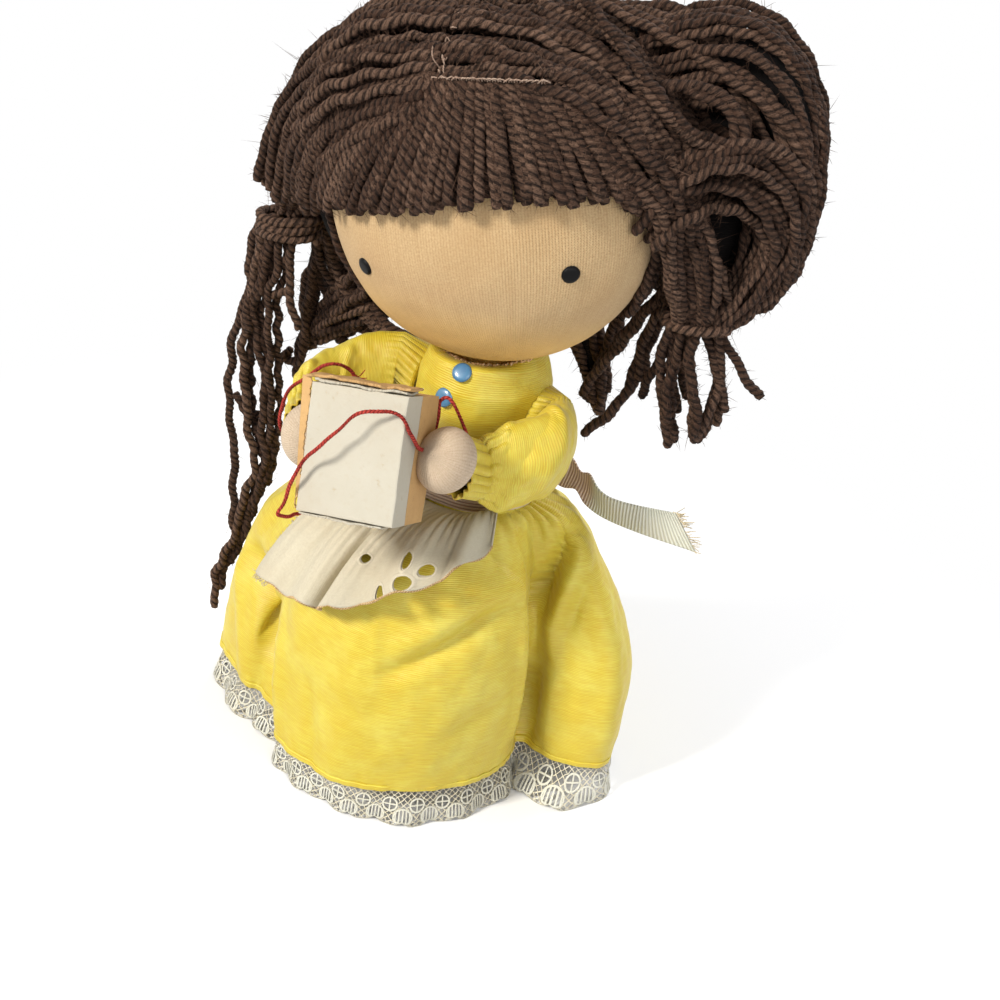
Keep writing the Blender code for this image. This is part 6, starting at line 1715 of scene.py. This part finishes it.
def streamer(name, start, side, shares):
    """One tail of the ribbon: its middle runs along a curve, its width leans from upright, its edges
    curl, and its cut end is frayed into loose threads."""
    line = spline(shares, np.linspace(0, 4, 90))
    middle = start + line[:, :3] * [side * STREAMER_REACH, STREAMER_REACH, STREAMER_REACH]
    across = unit(vec(0.0, line[:, 3], 1.0))
    way = unit(np.gradient(middle, axis=0))
    square = unit(np.cross(way, across))
    u, v = np.linspace(-1, 1, 22)[:, None], np.linspace(0, 1, 90)[:, None, None]
    narrow = 1 - 0.42 * bell(v, 0.47, 0.05) * (side > 0) - 0.25 * (1 - smooth(v, 0.0, 0.12))
    curl = 0.5 * (u**2 - 0.4) * (1 - 0.6 * v) + 0.35 * np.sin(9 * v + 2 * u)
    slant = (0.9 if side > 0 else 0.25) * STREAMER_WIDE / 2 * u * smooth(v, 0.82, 1.0)
    points = middle[:, None] + across[:, None] * u * narrow * STREAMER_WIDE / 2
    points = points + square[:, None] * curl * smooth(v, 0.0, 0.15) - way[:, None] * slant
    made = wall(surface("ribbon_" + name + "_cloth", points, GROSGRAIN, "torso"), 0.4, 0.0)
    stands_for(made, "ribbon_tail_" + name)
    width, length = cut_of(points.swapaxes(0, 1))
    rng = np.random.default_rng(4)
    routes = []
    for _ in range(46):
        at = points[-1, int(rng.uniform(0, 21.9))]
        ahead = unit(way[-1] + rng.normal(0, 0.28, 3))
        reach = rng.uniform(0.5, 2.2)
        bend = rng.normal(0, 0.3, 3)
        routes.append(np.array([at - ahead * 0.6, at + ahead * reach * 0.5 + bend * 0.5, at + ahead * reach + bend]))
    made = strands("ribbon_" + name + "_fray", routes, CREAM_THREAD, "torso", half=0.1, step=0.25, pitch=1.0, loose=0.03)


LID_DEEP = 6.2


def rim(inset):
    """The box's outline seen from the front, drawn in by inset: 24 places on each of four sides."""
    wide, tall = BOX_WIDE / 2 - inset, BOX_TALL / 2 - inset
    corner = np.array([[wide, -tall], [wide, tall], [-wide, tall], [-wide, -tall], [wide, -tall]])
    x, z = (np.interp(np.arange(96) / 24, np.arange(5), column) for column in corner.T)
    return vec(x, 0.0, z)


def tray(name, node_name, material, profile):
    """A card tray from (inset, depth) pairs, closed by a middle at its first and last depth."""
    start, end = (rim(0.0) * 0.02 + [0, profile[k][1], 0] for k in (0, -1))
    points = np.array([start, *(rim(inset) + [0, y, 0] for inset, y in profile), end])
    points = from_box(points + 0.12 * ripple(points, 17.0, 23)[..., None] * [0.6, 1.0, 0.6])
    made = surface(name, points, material, "right_arm", True, True, smooth_faces=False)
    stands_for(made, node_name)


def torn_ply(name, material, low, high, torn, seed, thick=0.42, taper=1.0):
    """One torn layer of board: a sheet between two opposite corners whose one long edge is ragged.
    torn is how far the rag reaches along x, y and z."""
    low, high = np.array(low, float), np.array(high, float)
    long_axis = int(np.argmax(high - low))
    wide_axis = [k for k in range(3) if k != long_axis and high[k] != low[k]][0]
    s, t = np.linspace(0, 1, 180)[:, None], np.linspace(0, 1, 8)[None]
    points = np.broadcast_to(low, (180, 8, 3)).copy()
    points[..., long_axis] = low[long_axis] + (high - low)[long_axis] * s
    points[..., wide_axis] = low[wide_axis] + (high - low)[wide_axis] * t * (taper + (1 - taper) * s)
    line = vec(s[:, 0] * 40, 0.0, float(seed))
    rag = 0.6 * ripple(line, 7.0, seed) + 0.35 * ripple(line, 1.6, seed + 1)
    points = points + (rag[:, None] * (1 - t))[..., None] * np.array(torn, float)
    points = points + (0.16 * ripple(points, 6.0, seed + 2))[..., None] * UP
    made = wall(surface(name, from_box(points), material, "right_arm"), thick, 0.0)


def box():
    """The card box: a brown tray that opens to the front, closed by a white lid whose top, left and
    lower edges end in torn layers of brown board."""
    front, back, edge = -BOX_DEEP / 2, BOX_DEEP / 2, -BOX_DEEP / 2 + LID_DEEP
    lid = [(0.3, front), (0.08, front + 0.08), (0.0, front + 0.3), (0.0, edge), (CARD, edge), (CARD, front + CARD)]
    base = [(0.3, back), (0.0, back - 0.3), (0.0, edge + 0.12), (CARD + 0.1, edge + 0.12)]
    base += [(CARD + 0.1, front + 1.0), (2 * CARD, front + 1.0), (2 * CARD, back - CARD)]
    tray("lid_card", "box_lid", WHITE_CARD, lid)
    tray("base_card", "box_base", KRAFT_CARD, base)
    wide, tall = BOX_WIDE / 2, BOX_TALL / 2
    low, high = (-wide + 0.2, front - 0.1, tall + 0.45), (wide - 0.6, edge - 0.6, tall + 0.45)
    torn_ply("lid_top_ply_low", WHITE_CARD, low, high, (0, 0.5, 0), 3)
    low, high = (-wide - 1.3, front - 0.2, tall + 1.15), (wide + 0.1, edge, tall + 1.15)
    torn_ply("lid_top_ply", KRAFT_CARD, low, high, (0, 0.8, 0), 5, 0.5)
    low, high = (-wide - 0.12, front + 0.25, -tall + 0.4), (-wide - 2.1, front + 0.25, tall + 0.9)
    torn_ply("lid_left_ply", KRAFT_CARD, low, high, (0.35, 0, 0), 9, taper=0.12)
    low, high = (-wide + 0.5, front + 0.1, -tall - 0.42), (wide - 2.2, edge - 1.0, -tall - 0.42)
    torn_ply("lid_low_ply", WHITE_CARD, low, high, (0, 0.3, 0), 13, 0.3)


STRING_ROUTE = np.array([
    (-6.4, 4.2, 12.9), (-6.8, 3, 14.2), (-8.2, 1, 15.2), (-10.7, 0, 14.6), (-15.1, 0, 11.4), (-18.4, 1, 8),
    (-20.3, 3.4, 4.9), (-21, 6.4, 0.6), (-19.2, 10.4, -4.6), (-14.4, 9.6, -11), (-12.9, 1, -13.8),
    (-12.5, -8.4, -13.2), (-11.5, -8.8, -10.2), (-10.4, -9.4, -7.5), (-9, -10.4, -4.1), (-6.6, -11.4, -1),
    (-3.8, -12.2, 1.5), (-0.5, -12.4, 5.3), (2.4, -11.8, 7.9), (4.8, -10.8, 8.8), (7.8, -9.2, 8.5),
    (9.6, -8.4, 7.4), (10.4, -6.4, 5), (10.5, -3, 3), (10.6, 3, 1.5), (11, 7.5, 2), (9.4, 8.9, 5),
    (9.3, 8.9, 10.6), (10.8, 9, 11.6), (12.8, 9.4, 9.8), (14.6, 9.6, 6.6), (15.6, 10, 4.4)
])


def string():
    """The red floss over both hands and the lid, a free cord of about 0.8 mm."""
    line = along(from_box(STRING_ROUTE), 90)
    made = strands("red_string", [line], RED_THREAD, "right_arm", half=0.41, step=0.3, pitch=1.5)
    stands_for(made, "box_string")
    rng = np.random.default_rng(12)
    root = from_box(STRING_ROUTE[0])
    bends = ((rng.normal(0, 0.5, 3), rng.normal(0, 1.1, 3) + [0, 0, -0.7]) for _ in range(16))
    ends = [np.array([root, root + bend, root + end]) for bend, end in bends]
    fray = strands("red_string_fray", ends, RED_THREAD, "right_arm", half=0.1, step=0.2, pitch=1.0, loose=0.05)
    route = world(along(from_box(STRING_ROUTE), 400)[::4])


camera()
string()
studio()
trunk()
neck()
head()
eyes()
cap_hair()
fringe()
parting()
side_hair()
tails()
hair_ties()
bodice()
collar()
buttons()
arms()
skirt()
lace()
legs()
apron()
ribbon()
box()

bpy.context.scene.view_settings.view_transform = "Standard"
